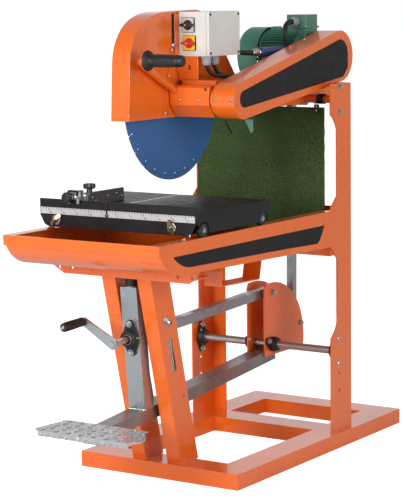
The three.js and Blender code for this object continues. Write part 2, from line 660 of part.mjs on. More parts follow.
function sawBlade() {
  const { radius, thickness, slots, slotDepth, slotWidth, keyhole } = BLADE;
  const pitch = 2 * Math.PI / slots;
  const outline = new THREE.Shape();
  const polar = (angle, along, across) => [
    ARBOR.y + along * Math.cos(angle) - across * Math.sin(angle),
    ARBOR.z + along * Math.sin(angle) + across * Math.cos(angle)];
  for (let i = 0; i < slots; i += 1) {
    const angle = (i + 0.75) * pitch;
    const half = slotWidth / 2;
    const inner = radius - slotDepth;
    const points = [[radius, -half], [inner + 2, -half], [inner + 1, -keyhole], [inner - 3, -keyhole],
      [inner - 5, 0], [inner - 3, keyhole], [inner + 1, keyhole], [inner + 2, half], [radius, half]];
    for (const [along, across] of points) {
      const [y, z] = polar(angle, along, across);
      if (i || outline.curves.length || along !== radius || across > 0) outline.lineTo(y, z);
      else outline.moveTo(y, z);
    }
    for (const step of [1 / 3, 2 / 3]) outline.lineTo(...polar(angle + step * pitch, radius, 0));
  }
  const bore = new THREE.Path();
  bore.absarc(ARBOR.y, ARBOR.z, ARBOR.radius + 4 * GAP, 0, 2 * Math.PI, false);
  outline.holes.push(bore);
  return sideSheet(outline, ARBOR.bladeX - thickness / 2, ARBOR.bladeX + thickness / 2);
}

// ---------- sliding table ----------
const WHEEL_Z = TRAY.rim + GAP + WHEEL.radius;

function slidingTable() {
  const { halfWidth, front, back, top, lip, sheet } = TABLE;
  const deck = block([-halfWidth, halfWidth], [front, back], [top - 4, top]);
  const apron = frontSheet(polygon([[-halfWidth, lip], [-halfWidth, 828], [-268, 800], [-252, 793],
    [252, 793], [268, 800], [halfWidth, 828], [halfWidth, lip]]), front, front + sheet);
  const tail = block([-257, 257], [back - sheet, back], [800, top - 1]);
  const sides = [-1, 1].flatMap((side) => {
    const span = (a, b) => (side > 0 ? [a, b] : [-b, -a]);
    const skirt = sideSheet(polygon([[front, 838], [front + 40, 797], [back - 16, 797], [back, 812],
      [back, top - 1], [front, top - 1]]), ...span(halfWidth - sheet, halfWidth));
    const rib = block(span(254, 257), [front + 1, back - 1], [796, top - 1]);
    const axles = [WHEEL.front, WHEEL.rear].map((y) => bar('x', span(255, 283), 5, y, WHEEL_Z, 16));
    return [skirt, rib, ...axles];
  });
  const arches = [WHEEL.front, WHEEL.rear].flatMap((y) => [-1, 1].map((side) => bar('x',
    side > 0 ? [280, 290] : [-290, -280], WHEEL.radius + 4, y, WHEEL_Z)));
  const slot = block([ARBOR.bladeX - 6, ARBOR.bladeX + 6], [-727, back + 1], [780, top + 1]);
  return cut(joined(deck, apron, tail, ...sides), ...arches, slot);
}

function wheel(side, y) {
  const [x0, x1] = [WHEEL.x, WHEEL.x + WHEEL.width];
  const bore = 5 + GAP;
  const body = turned([[bore, x0], [WHEEL.radius, x0], [WHEEL.radius, x1 - 2], [21, x1],
    [bore, x1], [bore, x0]], 0, 0, 24);
  return side > 0 ? body.translate(0, y, WHEEL_Z) : body.rotateZ(Math.PI).translate(0, y, WHEEL_Z);
}

function wingScrew(x) {
  const [y, z] = [TABLE.front - GAP, 815];
  const washer = bar('y', [y - 3, y], 12, x, z, 20);
  const stem = bar('y', [y - 14, y - 2], 5.5, x, z, 16);
  const wings = frontSheet(beltOutline([-13, 0, 6], [13, 0, 6]), -1.6, 1.6, 6)
    .rotateY(0.6).translate(x, y - 14, z);
  return joined(washer, stem, wings);
}

function fenceBracket() {
  const { front, lip, sheet, top } = TABLE;
  const hook = sideSheet(polygon([[front - 9, 868], [front - 9, lip + 29], [front + 15, lip + 29],
    [front + 15, top + 0.4], [front + 10, top + 0.4], [front + 10, lip + 25], [front - 4, lip + 25],
    [front - 4, 868]]), -172, -129);
  const arm = block([-130, FENCE.x - 4.4], [front + sheet + 3, front + 15], [872, 897]);
  return joined(hook, arm);
}

function fencePlate() {
  const { x, front, back, height } = FENCE;
  const foot = TABLE.top + 0.4;
  const blade = block([x - 4, x + 4], [front, back], [foot, foot + height]);
  const seat = block([x - 12, x + 12], [front, front + 26], [foot + height - 6, foot + height]);
  return joined(blade, seat);
}

function fenceClampKnob() {
  const [x, y, z] = [-163, TABLE.front - 9.4, 887];
  const head = bar('y', [y - 22, y - 4], 17, x, z, 10);
  return joined(head, bar('y', [y - 5, y], 7, x, z, 16));
}

function fenceLockKnob() {
  const [x, y] = [FENCE.x, FENCE.front + 13];
  const seat = TABLE.top + FENCE.height + 0.7;
  return joined(bar('z', [seat, seat + 15], 7, x, y, 16), bar('z', [seat + 13, seat + 27], 19, x, y, 12));
}

/** The sheet widens to its left below the cross tube's end plate. */
function splashCurtain() {
  const { left, right, front, back, bottom, top } = CURTAIN;
  return frontSheet(polygon([[left, top], [left, 1078], [left - 6, 1066], [left - 7, bottom],
    [right, bottom], [right, top]]), front, back);
}

/** Wing bolt on the outer face of the right leg. */
function legWingBolt() {
  const x = LEVER_X + LEG.spread + LEG.width / 2 + GAP;
  const y = LEG.footFront + LEG.depth / 2 - LEG.lean * (503 - BASE.height);
  const washer = bar('x', [x, x + 3], 14, y, 503, 20);
  const shank = bar('x', [x - 14, x + 12], 5, y, 503, 16);
  const wings = sideSheet(beltOutline([y - 15, 503, 7], [y + 15, 503, 7]), x + 8, x + 12, 6);
  return joined(washer, shank, wings);
}

// ---------- assembly ----------
add('base_frame', ORANGE, baseFrame());
add('column_left', ORANGE, column(-1));
add('column_right', ORANGE, column(1));
add('cross_tube', ORANGE, crossTube());
add('leg_left', ORANGE, leg(-1));
add('leg_right', ORANGE, leg(1));
add('front_cross_angle', ORANGE, frontCrossAngle());
add('rear_cross_bar', ORANGE, rearCrossBar());
add('tray', ORANGE, tray());
add('shaft_bearing_left', CAST_BLACK, shaftBearing(-1));
add('shaft_bearing_right', CAST_BLACK, shaftBearing(1));
add('leg_wing_bolt', BRIGHT_STEEL, legWingBolt());
add('splash_curtain', MAT_GREEN, splashCurtain());

add('pedal_shaft', BRIGHT_STEEL, pedalShaft(), lever);
add('pivot_plate_left', ORANGE, pivotPlate(-1), lever);
add('pivot_plate_right', ORANGE, pivotPlate(1), lever);
add('rod_pin', BRIGHT_STEEL, rodPin(), lever);
add('lever_tube', GALVANISED, leverTube(), leverArm);
add('upright_tube', GALVANISED, uprightTube(), leverArm);
add('stop_buffer', RUBBER, stopBuffer(), leverArm);
add('crank_bearing', CAST_BLACK, crankBearing(), leverArm);
add('pedal_plate', GALVANISED, pedalPlate(), leverArm);
add('spindle_tube', GALVANISED, spindleTube(), spindleLine);

add('crank_spindle', BRIGHT_STEEL, crankSpindle(), spindleLine);
const crank = new THREE.Group();
crank.rotation.y = THREE.MathUtils.degToRad(180 + CRANK.angle);
spindleLine.add(crank);
add('crank_arm', GALVANISED, crankArm(), crank);
add('crank_grip', RUBBER, crankGrip(), crank);

const rod = new THREE.Group();
rod.position.set(LEVER_X, ROD_FOOT.y, ROD_FOOT.z);
rod.rotation.x = -Math.atan2(ROD_TOP.y - ROD_FOOT.y, ROD_TOP.z - ROD_FOOT.z);
saw.add(rod);
add('lift_rod', GALVANISED, liftRod(), rod);

add('head_arm', ORANGE, headArm());
add('rod_top_pin', BRIGHT_STEEL, rodTopPin());
add('arbor_cover', ORANGE, arborCover());
add('belt_guard', ORANGE, beltGuard());
add('blade_guard_front', ORANGE, bladeGuardFront());
add('blade_guard_rear', ORANGE, bladeGuardRear());
add('handle_tube', ORANGE, handleTube());
add('handle_grip', RUBBER, handleGrip());
add('box_bracket', ORANGE, boxBracket());
add('control_box', BOX_GREY, controlBox());
add('control_box_lid', BOX_GREY, controlBoxLid());
add('selector_knob', KNOB_BLACK, switchKnob(Math.PI / 2)).position.set(41, BOX.front - GAP, 1391);
add('main_switch_knob', KNOB_RED, switchKnob(Math.PI / 2)).position.set(45, BOX.front - GAP, 1336);
add('motor_body', MOTOR_GREEN, motorBody());
add('fan_cowl', MOTOR_GREEN, fanCowl());
add('terminal_box', MOTOR_GREEN, terminalBox());
add('drive_belt', RUBBER, driveBelt());
add('motor_pulley', BRIGHT_STEEL, motorPulley());
add('arbor_shaft', BRIGHT_STEEL, arborShaft());
add('arbor_pulley', BRIGHT_STEEL, arborPulley());
add('blade_flange', BRIGHT_STEEL, bladeFlange());
add('blade', BLADE_BLUE, sawBlade());

add('table', TABLE_BLACK, slidingTable());
for (const [end, y] of [['front', WHEEL.front], ['rear', WHEEL.rear]]) {
  add(`wheel_${end}_left`, TABLE_BLACK, wheel(-1, y));
  add(`wheel_${end}_right`, TABLE_BLACK, wheel(1, y));
}
add('table_wing_screw_left', BRASS, wingScrew(-222));
add('table_wing_screw_right', BRASS, wingScrew(200));
add('fence_bracket', GALVANISED, fenceBracket());
add('fence_plate', GALVANISED, fencePlate());
add('fence_clamp_knob', KNOB_BLACK, fenceClampKnob());
add('fence_lock_knob', KNOB_BLACK, fenceLockKnob());

export default saw;
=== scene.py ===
"""A masonry saw on its floor stand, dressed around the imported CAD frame.

Shapes are drawn in millimetres in the row frame, and scaled to metres as each piece is finished:
+X is the operator's right, +Y is away from the operator, +Z is up.
"""

import json
import math
import random

import bmesh
import bpy
from mathutils import Matrix, Vector, geometry, noise


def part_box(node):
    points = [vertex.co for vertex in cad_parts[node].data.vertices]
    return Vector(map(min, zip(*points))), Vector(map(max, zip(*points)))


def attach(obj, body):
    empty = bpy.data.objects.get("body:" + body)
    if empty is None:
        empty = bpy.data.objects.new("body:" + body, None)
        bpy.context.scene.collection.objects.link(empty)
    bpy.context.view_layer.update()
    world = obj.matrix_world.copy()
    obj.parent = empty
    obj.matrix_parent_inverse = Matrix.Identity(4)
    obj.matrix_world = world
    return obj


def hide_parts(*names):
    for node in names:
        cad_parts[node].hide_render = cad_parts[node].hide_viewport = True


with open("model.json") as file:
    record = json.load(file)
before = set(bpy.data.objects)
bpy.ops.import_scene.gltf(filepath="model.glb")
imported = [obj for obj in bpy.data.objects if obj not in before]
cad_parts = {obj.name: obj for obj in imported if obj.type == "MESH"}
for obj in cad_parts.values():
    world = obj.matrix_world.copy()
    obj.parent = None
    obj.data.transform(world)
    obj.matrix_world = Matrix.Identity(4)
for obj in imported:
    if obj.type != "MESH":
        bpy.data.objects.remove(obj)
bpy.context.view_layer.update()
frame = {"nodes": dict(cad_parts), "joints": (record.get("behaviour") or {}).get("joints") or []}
MM = 0.001
NODES = frame["nodes"]
JOINTS = {joint["name"]: joint for joint in frame["joints"]}


class Box:
    """Where a CAD node is, in millimetres."""

    def __init__(self, node):
        self.low, self.high = (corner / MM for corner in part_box(node))
        self.middle = (self.low + self.high) / 2


def pivot(joint):
    """A point on a joint's axis, in millimetres."""
    return Vector(JOINTS[joint]["pos_m"]) / MM


# ---------- materials ----------
def srgb(code):
    """The linear colour of a hex code."""
    parts = [int(code[i:i + 2], 16) / 255 for i in (0, 2, 4)]
    return [c / 12.92 if c <= 0.04045 else ((c + 0.055) / 1.055) ** 2.4 for c in parts] + [1.0]


class Nodes:
    """A node tree, and the nodes most often added to it."""

    def __init__(self, tree):
        self.tree = tree

    def join(self, socket, value):
        if isinstance(value, bpy.types.NodeSocket):
            self.tree.links.new(value, socket)
        else:
            socket.default_value = value

    def add(self, kind, inputs=None, **settings):
        made = self.tree.nodes.new(kind)
        for key, value in settings.items():
            setattr(made, key, value)
        for key, value in (inputs or {}).items():
            self.join(made.inputs[key], value)
        return made

    def spread(self, value, low, high, start=0.3, end=0.7):
        """Maps a value from start and end, by default a pattern's usual range, onto low to high."""
        inputs = {"Value": value, "From Min": start, "From Max": end, "To Min": low, "To Max": high}
        return self.add("ShaderNodeMapRange", inputs).outputs[0]


class Shader(Nodes):
    """One procedural material, its patterns laid out in the row frame's metres."""

    def __init__(self, name):
        self.material = bpy.data.materials.new(name)
        self.material.use_nodes = True
        super().__init__(self.material.node_tree)
        self.surface = self.tree.nodes["Principled BSDF"]
        self.place = self.add("ShaderNodeTexCoord").outputs["Object"]

    def set(self, **values):
        for key, value in values.items():
            self.join(self.surface.inputs[key.replace("_", " ")], value)

    def noise(self, scale, detail=2.0, stretch=(1, 1, 1)):
        where = self.add("ShaderNodeMapping", {"Vector": self.place, "Scale": stretch}).outputs[0]
        inputs = {"Vector": where, "Scale": scale, "Detail": detail}
        return self.add("ShaderNodeTexNoise", inputs).outputs["Fac"]

    def mix(self, share, first, second):
        made = self.add("ShaderNodeMix", data_type="RGBA")
        for index, value in ((0, share), (6, first), (7, second)):
            self.join(made.inputs[index], value)
        return made.outputs[2]

    def bump(self, height, depth):
        """Raises the surface by up to depth millimetres."""
        made = self.add("ShaderNodeBump", {"Height": height, "Distance": depth * MM})
        self.set(Normal=made.outputs[0])


def coating(name, light, dark, roughness, metallic=0.0, grain=(600, 0.03), patches=6, vary=0.07, **more):
    """A coated or moulded surface: two close shades in patches, uneven gloss and a fine grain."""
    shader = Shader(name)
    patch = shader.noise(patches, 4)
    shader.set(
        Base_Color=shader.mix(shader.spread(patch, 0, 1), srgb(light), srgb(dark)),
        Roughness=shader.spread(shader.noise(patches * 5, 5), roughness - vary, roughness + vary),
        Metallic=metallic, **more)
    scale, depth = grain
    shader.bump(shader.noise(scale, 3), depth)
    return shader.material


def galvanised(name, light, dark, roughness, spangle):
    """Zinc-coated steel: crystals of slightly different greys and gloss, with drawn streaks."""
    shader = Shader(name)
    crystal = shader.add("ShaderNodeTexVoronoi", {"Vector": shader.place, "Scale": spangle}).outputs["Color"]
    streak = shader.noise(90, 4, (1, 0.06, 1))
    tone = shader.mix(shader.spread(streak, 0.1, 0.75), crystal, [0.5, 0.5, 0.5, 1])
    shade = shader.add("ShaderNodeRGBToBW", {"Color": tone}).outputs[0]
    shader.set(Base_Color=shader.mix(shade, srgb(light), srgb(dark)), Metallic=0.85,
               Roughness=shader.spread(shade, roughness - 0.1, roughness + 0.1))
    shader.bump(shader.noise(420, 4), 0.03)
    return shader.material


def turned_steel():
    """Bright drawn bar with fine rings round it."""
    shader = Shader("bright_steel")
    rings = shader.noise(25, 3, (30, 1, 1))
    shader.set(Base_Color=shader.mix(shader.spread(rings, 0, 1), srgb("C6C6C4"), srgb("BABABA")),
               Metallic=1.0, Roughness=shader.spread(shader.noise(45, 4), 0.3, 0.42))
    shader.bump(rings, 0.001)
    return shader.material


def turf():
    """Artificial grass: strands of several greens over a dark backing, thicker in tufts."""
    shader = Shader("green_matting")
    strands = shader.noise(700, 3, (1, 1, 0.4))
    tufts = shader.noise(300, 4, (1, 1, 0.6))
    base = shader.mix(shader.spread(tufts, 0, 1, 0.38, 0.62), srgb("23331A"), srgb("4D6B36"))
    base = shader.mix(shader.spread(strands, 0, 0.6), base, srgb("1B2814"))
    base = shader.mix(shader.spread(shader.noise(12, 3), 0, 0.4), base, srgb("4A5F30"))
    shader.set(Base_Color=base, Roughness=0.9, Sheen_Weight=0.2, Specular_IOR_Level=0.2)
    shader.bump(tufts, 1.5)
    return shader.material


ORANGE = coating("orange_paint", "EE6C1A", "E96817", 0.3, grain=(90, 0.02), vary=0.04,
                Coat_Weight=0.7, Coat_Roughness=0.05)
TABLE_BLACK = coating("black_paint", "141213", "0D0C0C", 0.4, grain=(1500, 0.1), Specular_IOR_Level=0.33)
DECAL_BLACK = coating("black_film", "1A1617", "151213", 0.5, grain=(300, 0.01), Specular_IOR_Level=0.25)
ZINC = galvanised("galvanised_steel", "B6BDC1", "A0A8AD", 0.34, 40)
TUBE = coating("drawn_tube", "A29D9D", "857E7D", 0.33, 0.85, (300, 0.01), 9)
TREAD = galvanised("tread_steel", "DDE0E2", "B2B6BA", 0.3, 90)
ZINC_BRIGHT = galvanised("plated_fasteners", "D2D4D5", "A2A5A7", 0.28, 200)
WORN = galvanised("worn_steel", "8C8586", "4B4748", 0.45, 240)
ALLOY = coating("rule_alloy", "CFCFCF", "BEBEBF", 0.42, 0.4, (900, 0.01))
POLISHED = coating("polished_strip", "F2F2F2", "E2E2E2", 0.25, 1.0, (900, 0.002))
STEEL = turned_steel()
CAST = coating("cast_housing", "1F2422", "161918", 0.5, 0.1, (900, 0.2))
RUBBER = coating("black_rubber", "1A1819", "131213", 0.5, grain=(1300, 0.08))
PLASTIC = coating("black_plastic", "1C1B1C", "151415", 0.36, grain=(1600, 0.03))
BLADE = coating("blade_blue", "3B70B0", "3265A3", 0.42, 0.1, (800, 0.02), Coat_Weight=0.15)
SEGMENT = coating("blade_segment", "4775AE", "3C68A0", 0.6, 0.2, (2200, 0.2))
GREEN = coating("motor_green", "46866F", "3A7560", 0.4, grain=(500, 0.06), Coat_Weight=0.2)
GREY = coating("box_grey", "DCDDD6", "D4D5CE", 0.42, grain=(1100, 0.05))
GLAND = coating("gland_grey", "A5A7B0", "94969F", 0.4, grain=(900, 0.03))
SILVER = coating("switch_plate", "D6D2D4", "C9C4C8", 0.35, 0.3, (900, 0.01))
YELLOW = coating("switch_yellow", "F4C60E", "EDBB08", 0.4, grain=(900, 0.01))
RED = coating("red_plastic", "C9301E", "B92819", 0.35, grain=(1500, 0.03))
BRASS = coating("brass", "BBA67C", "947C4E", 0.3, 0.9, (500, 0.03))
BLUE = coating("connector_blue", "27407E", "203670", 0.4, grain=(1200, 0.04))
CAP_GREEN = coating("cap_green", "2F8F4A", "287D40", 0.4, grain=(1500, 0.03))
PALE_GREEN = coating("flap_green", "7FA793", "6F9A85", 0.55, grain=(700, 0.05))
TURF = turf()


# ---------- outlines and places ----------
def rectangle(low_a, low_b, high_a, high_b):
    return [(low_a, low_b), (high_a, low_b), (high_a, high_b), (low_a, high_b)]


def circle(a, b, radius, steps=32):
    turns = [2 * math.pi * i / steps for i in range(steps)]
    return [(a + radius * math.cos(t), b + radius * math.sin(t)) for t in turns]


def hull(*circles, steps=64):
    """The outline of a band pulled tight round circles, each (a, b, radius)."""
    points = [point for a, b, radius in circles for point in circle(a, b, radius, steps)]
    return [points[i] for i in geometry.convex_hull_2d(points)]


def rounded(a, b, half_a, half_b, corner):
    """A rectangle with round corners, whose centres stand half_a and half_b from its middle."""
    return hull(*[(a + i * half_a, b + j * half_b, corner) for i in (-1, 1) for j in (-1, 1)], steps=24)


def bezier(start, first, second, end, steps=16):
    """Points along a cubic curve, without its start."""
    corners = [Vector(point) for point in (start, first, second, end)]
    made = []
    for i in range(1, steps + 1):
        t = i / steps
        shares = ((1 - t) ** 3, 3 * t * (1 - t) ** 2, 3 * t * t * (1 - t), t ** 3)
        made.append(tuple(sum((c * s for c, s in zip(corners, shares)), Vector([0] * len(start)))))
    return made


def move(x, y, z):
    return Matrix.Translation((x, y, z))


def spin(angle, axis="Z"):
    return Matrix.Rotation(angle, 4, axis)


def side_view(x):
    """Outlines drawn in (y, z), extruded towards +X from x."""
    return Matrix(((0, 0, 1, x), (1, 0, 0, 0), (0, 1, 0, 0), (0, 0, 0, 1)))


def front_view(y):
    """Outlines drawn in (x, z), extruded towards +Y from y."""
    return Matrix(((1, 0, 0, 0), (0, 0, 1, y), (0, 1, 0, 0), (0, 0, 0, 1)))


def facing(origin, direction, along=None):
    """A place whose Z looks along a direction and whose X leans to another."""
    z = Vector(direction).normalized()
    x = Vector(along) if along else z.orthogonal()
    x = (x - z * x.dot(z)).normalized()
    place = Matrix((x, z.cross(x), z)).transposed().to_4x4()
    place.translation = Vector(origin)
    return place


X, Y, Z = Vector((1, 0, 0)), Vector((0, 1, 0)), Vector((0, 0, 1))


# ---------- pieces ----------
def add_object(name, data):
    """A new object of the data, in the scene."""
    made = bpy.data.objects.new(name, data)
    bpy.context.scene.collection.objects.link(made)
    return made


def evaluated_mesh(source):
    """The mesh of an object as its modifiers leave it."""
    return source.evaluated_get(bpy.context.evaluated_depsgraph_get()).to_mesh()


def smoothing_group(angle=24):
    """Shades a mesh smooth, but for the edges sharper than an angle."""
    tree = bpy.data.node_groups.new("smooth_by_angle", "GeometryNodeTree")
    for way in ("INPUT", "OUTPUT"):
        tree.interface.new_socket("Geometry", in_out=way, socket_type="NodeSocketGeometry")
    nodes = Nodes(tree)
    bend = nodes.add("GeometryNodeInputMeshEdgeAngle").outputs["Unsigned Angle"]
    sharp = nodes.add("FunctionNodeCompare", {0: bend, 1: math.radians(angle)}).outputs[0]
    shape = nodes.add("NodeGroupInput").outputs[0]
    normals = nodes.add("GeometryNodeSetMeshNormal",
                        {"Mesh": shape, "Edge Sharpness": sharp, "Face Sharpness": False}).outputs[0]
    nodes.add("NodeGroupOutput", {0: normals})
    return tree


SMOOTHING = smoothing_group()


def soften(piece, edge):
    """Rounds a piece's sharp edges by edge millimetres and shades the rest smooth."""
    if edge:
        bevel = piece.modifiers.new("edges", "BEVEL")
        bevel.width, bevel.segments = edge * MM, 4 if edge > 2 else 2
        bevel.limit_method, bevel.angle_limit = "ANGLE", math.radians(40)
    piece.modifiers.new("smooth", "NODES").node_group = SMOOTHING
    piece.modifiers.new("normals", "WEIGHTED_NORMAL").keep_sharp = True


def dress(node, material, edge=0.8):
    """Gives a CAD node that stays its finish, its rounded edges and its shading."""
    piece = NODES[node]
    piece.material_slots[0].link = "OBJECT"
    piece.material_slots[0].material = material
    piece.modifiers.new("weld", "WELD").merge_threshold = 0.01 * MM
    flat = piece.modifiers.new("flat", "DECIMATE")
    flat.decimate_type, flat.angle_limit = "DISSOLVE", math.radians(1)
    soften(piece, edge)


class Part:
    """Collects closed shapes drawn in millimetres and turns them into one piece."""

    def __init__(self, material):
        self.mesh = bmesh.new()
        self.materials = []
        self.use(material)

    def use(self, material):
        """Shapes made from here on take this material."""
        if material not in self.materials:
            self.materials.append(material)
        self.index = self.materials.index(material)
        return self

    def face(self, corners):
        """Closes a face, unless its corners have fallen together."""
        corners = list(dict.fromkeys(corners))
        if len(corners) > 2:
            self.mesh.faces.new(corners).material_index = self.index

    def ring(self, place, points):
        """The corners at points, moved to a place."""
        return [self.mesh.verts.new(place @ Vector(point)) for point in points]

    def skin(self, rings, closed=False):
        """Joins each ring of corners to the next."""
        for first, second in zip(rings, rings[1:] + (rings[:1] if closed else [])):
            for i in range(max(len(first), len(second))):
                self.face((first[i % len(first)], first[(i - 1) % len(first)],
                           second[(i - 1) % len(second)], second[i % len(second)]))

    def prism(self, outline, depth, place=Matrix(), holes=()):
        """Extrudes an outline along the place's Z, with holes through it."""
        loops = [outline, *holes]
        low = [self.ring(place, [(a, b, 0) for a, b in loop]) for loop in loops]
        high = [self.ring(place, [(a, b, depth) for a, b in loop]) for loop in loops]
        for pair in zip(low, high):
            self.skin(list(pair))
        flat = [[Vector((a, b, 0)) for a, b in loop] for loop in loops]
        for side in (low, high):
            corners = sum(side, [])
            if holes:
                for triangle in geometry.tessellate_polygon(flat):
                    self.face([corners[i] for i in triangle])
            else:
                self.face(corners)
        return self

    def block(self, low, high, place=Matrix()):
        """A box between two corners."""
        outline = rectangle(low[0], low[1], high[0], high[1])
        return self.prism(outline, high[2] - low[2], place @ move(0, 0, low[2]))

    def lathe(self, profile, place=Matrix(), steps=40, closed=False, ripple=None):
        """Turns a profile of (radius, height) round the place's Z; ripple alters a point's radius."""
        rings = []
        for radius, height in profile:
            turns = [2 * math.pi * i / steps for i in range(steps if radius > 1e-6 else 1)]
            reach = [ripple(radius, height, t) if ripple else radius for t in turns]
            rings.append(self.ring(place, [
                (r * math.cos(t), r * math.sin(t), height) for r, t in zip(reach, turns)]))
        self.skin(rings, closed)
        return self

    def disc(self, radius, low, high, place, steps=40):
        """A cylinder round the place's Z, between two heights."""
        return self.lathe([(0, low), (radius, low), (radius, high), (0, high)], place, steps)

    def sweep(self, path, section, widths=None):
        """Draws a section along a path of points, with closed ends."""
        points = [Vector(point) for point in path]
        up, rings = None, []
        for i, point in enumerate(points):
            ahead = (points[min(i + 1, len(points) - 1)] - points[max(i - 1, 0)]).normalized()
            up = ahead.orthogonal() if up is None else up
            up = (up - ahead * up.dot(ahead)).normalized()
            width = widths[i] if widths else 1
            around = [point + (ahead.cross(up) * a + up * b) * width for a, b in section]
            rings.append([self.mesh.verts.new(corner) for corner in around])
        self.skin(rings)
        self.face(rings[0])
        self.face(rings[-1])
        return self

    def combine(self, other, operation="DIFFERENCE"):
        """Cuts another part's shapes out of this one, or joins them to it."""
        tools = []
        for part in (self, other):
            bmesh.ops.recalc_face_normals(part.mesh, faces=part.mesh.faces)
            mesh = bpy.data.meshes.new("tool")
            part.mesh.to_mesh(mesh)
            tools.append(add_object("tool", mesh))
        change = tools[0].modifiers.new("change", "BOOLEAN")
        change.operation, change.object, change.solver = operation, tools[1], "MANIFOLD"
        self.mesh.clear()
        self.mesh.from_mesh(evaluated_mesh(tools[0]))
        for tool in tools:
            bpy.data.meshes.remove(tool.data)
        other.mesh.free()
        return self

    def bolt(self, origin, direction, flats=13, height=7, washer=10, turn=0.0):
        """A hexagon head on its washer."""
        place = facing(origin, direction) @ spin(turn)
        thick = 1.8 if washer else 0
        if washer:
            self.disc(washer, 0, thick, place, 28)
        radius = flats / math.sqrt(3)
        top = thick + height
        return self.lathe(
            [(0, thick), (radius, thick), (radius, top - 1), (radius - 1, top), (0, top)], place, 6)

    def dome(self, origin, direction, radius=6, height=4):
        """A round-headed screw with a socket in its crown."""
        rounding = [(radius * math.cos(t), height * math.sin(t)) for t in (0, 0.35, 0.7, 1.0, 1.2)]
        socket = radius * 0.34
        return self.lathe([(0, 0), (radius, 0), *rounding[1:], (socket, height * 0.95),
                           (socket, height * 0.4), (0, height * 0.4)], facing(origin, direction), 24)

    def weld(self, start, end, size=2.2):
        """A rippled bead between two points."""
        ripple = 2.2
        start, end = Vector(start), Vector(end)
        steps = max(8, int((end - start).length / ripple))
        path = [start.lerp(end, i / steps) for i in range(steps + 1)]
        widths = [0.5] + [1 + 0.16 * math.sin(2.1 * i) for i in range(1, steps)] + [0.5]
        return self.sweep(path, circle(0, 0, size, 8), widths)

    def finish(self, name, body, slot, edge=0.5, replaces=()):
        """Makes the piece in metres, on its body and in place of the CAD nodes that it replaces."""
        bmesh.ops.recalc_face_normals(self.mesh, faces=self.mesh.faces)
        bmesh.ops.scale(self.mesh, vec=(MM, MM, MM), verts=self.mesh.verts)
        mesh = bpy.data.meshes.new(name)
        self.mesh.to_mesh(mesh)
        self.mesh.free()
        for material in self.materials:
            mesh.materials.append(material)
        piece = add_object(name, mesh)
        soften(piece, edge)
        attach(piece, body)
        if replaces:
            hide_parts(*replaces)


# ---------- stand ----------
TRAY = Box("tray")
TRAY_SIDE = TRAY.high.x - 3
TRAY_FRONT = TRAY.low.y + 3
TRAY_BACK = -68.5
RIM = TRAY.high.z


def tray_floor(y):
    """Height of the tray's sloping underside."""
    return 689 - 0.0245 * (y + 925)


def tray_profile(inset):
    """Side view of the tray: a lip, a rolled front and a sloping floor."""
    front, top = TRAY_FRONT + inset, RIM + (5 if inset else 0)
    foot = (-925, tray_floor(-925) + inset)
    ledge = RIM - 31 + inset
    roll = bezier((front + 5, ledge), (front + 19, ledge - 28), (front + 54, foot[1] + 3), foot, 20)
    return [(front, top), (front, ledge), (front + 5, ledge), *roll,
            (TRAY_BACK, tray_floor(TRAY_BACK) + inset), (TRAY_BACK, top)]


def tray():
    """The water tray: a rolled front, a box at the back, a lip round it and flanges for the wheels."""
    wall, flange, lip, band = 2.5, 35, 31, 13
    side, rear, back = TRAY_SIDE, 267, TRAY.high.y
    floor = tray_floor(TRAY_BACK)

    def block(*corners):
        return Part(ORANGE).block(*corners)

    shell = Part(ORANGE).prism(tray_profile(0), 2 * side, side_view(-side))
    shell.combine(block((-rear, TRAY_BACK - 1, floor), (rear, back, RIM)), "UNION")
    shell.combine(Part(ORANGE).prism(tray_profile(wall), 2 * (side - wall), side_view(wall - side)))
    shell.combine(block((wall - rear, TRAY_BACK - 6, floor + wall), (rear - wall, back - wall, RIM + 9)))
    shell.combine(block((-side - 2, TRAY_FRONT - 3, RIM - lip), (side + 2, TRAY_FRONT + 1, RIM)), "UNION")
    for way in (-1, 1):
        near, far = sorted((way * (side - 1), way * (side + 3)))
        shell.combine(block((near, TRAY_FRONT - 3, RIM - band), (far, TRAY_BACK, RIM)), "UNION")
        near, far = sorted((way * (side - flange), way * (side - 1)))
        shell.combine(block((near, TRAY_FRONT + 1, RIM - wall), (far, TRAY_BACK, RIM)), "UNION")
    shell.finish("tray_shell", "frame", "orange_paint", 0.8, ["tray"])


def tray_strap():
    """The strap under the tray's right side, folded from flat bar."""
    thick = 4
    outer = [(-642, 683), (-642, 612), (-424, 606), (-408, 677)]
    inner = [(-412, 677), (-427, 606 + thick), (-642 + thick, 612 + thick), (-642 + thick, 683)]
    Part(ORANGE).prism(outer + inner, 63, side_view(163)).finish(
        "tray_strap", "frame", "orange_paint", 1.0)


def tray_band():
    """Black film along the tray's right side, swept up to a point at the front."""
    sweep = bezier((-971, 747), (-950, 727), (-925, 712), (-884, 708), 10)
    tail = bezier((-180, 689), (-158, 688), (-148, 694), (-140, 705), 6)
    outline = [(-971, 747), *sweep, (-387, 697), (-180, 690), *tail, (-114, 744)]
    Part(DECAL_BLACK).prism(outline, 0.4, side_view(TRAY_SIDE)).finish(
        "tray_side_band", "frame", "black_paint", 0)


LEG_LEAN = 0.245
LEG_FRONT = -648


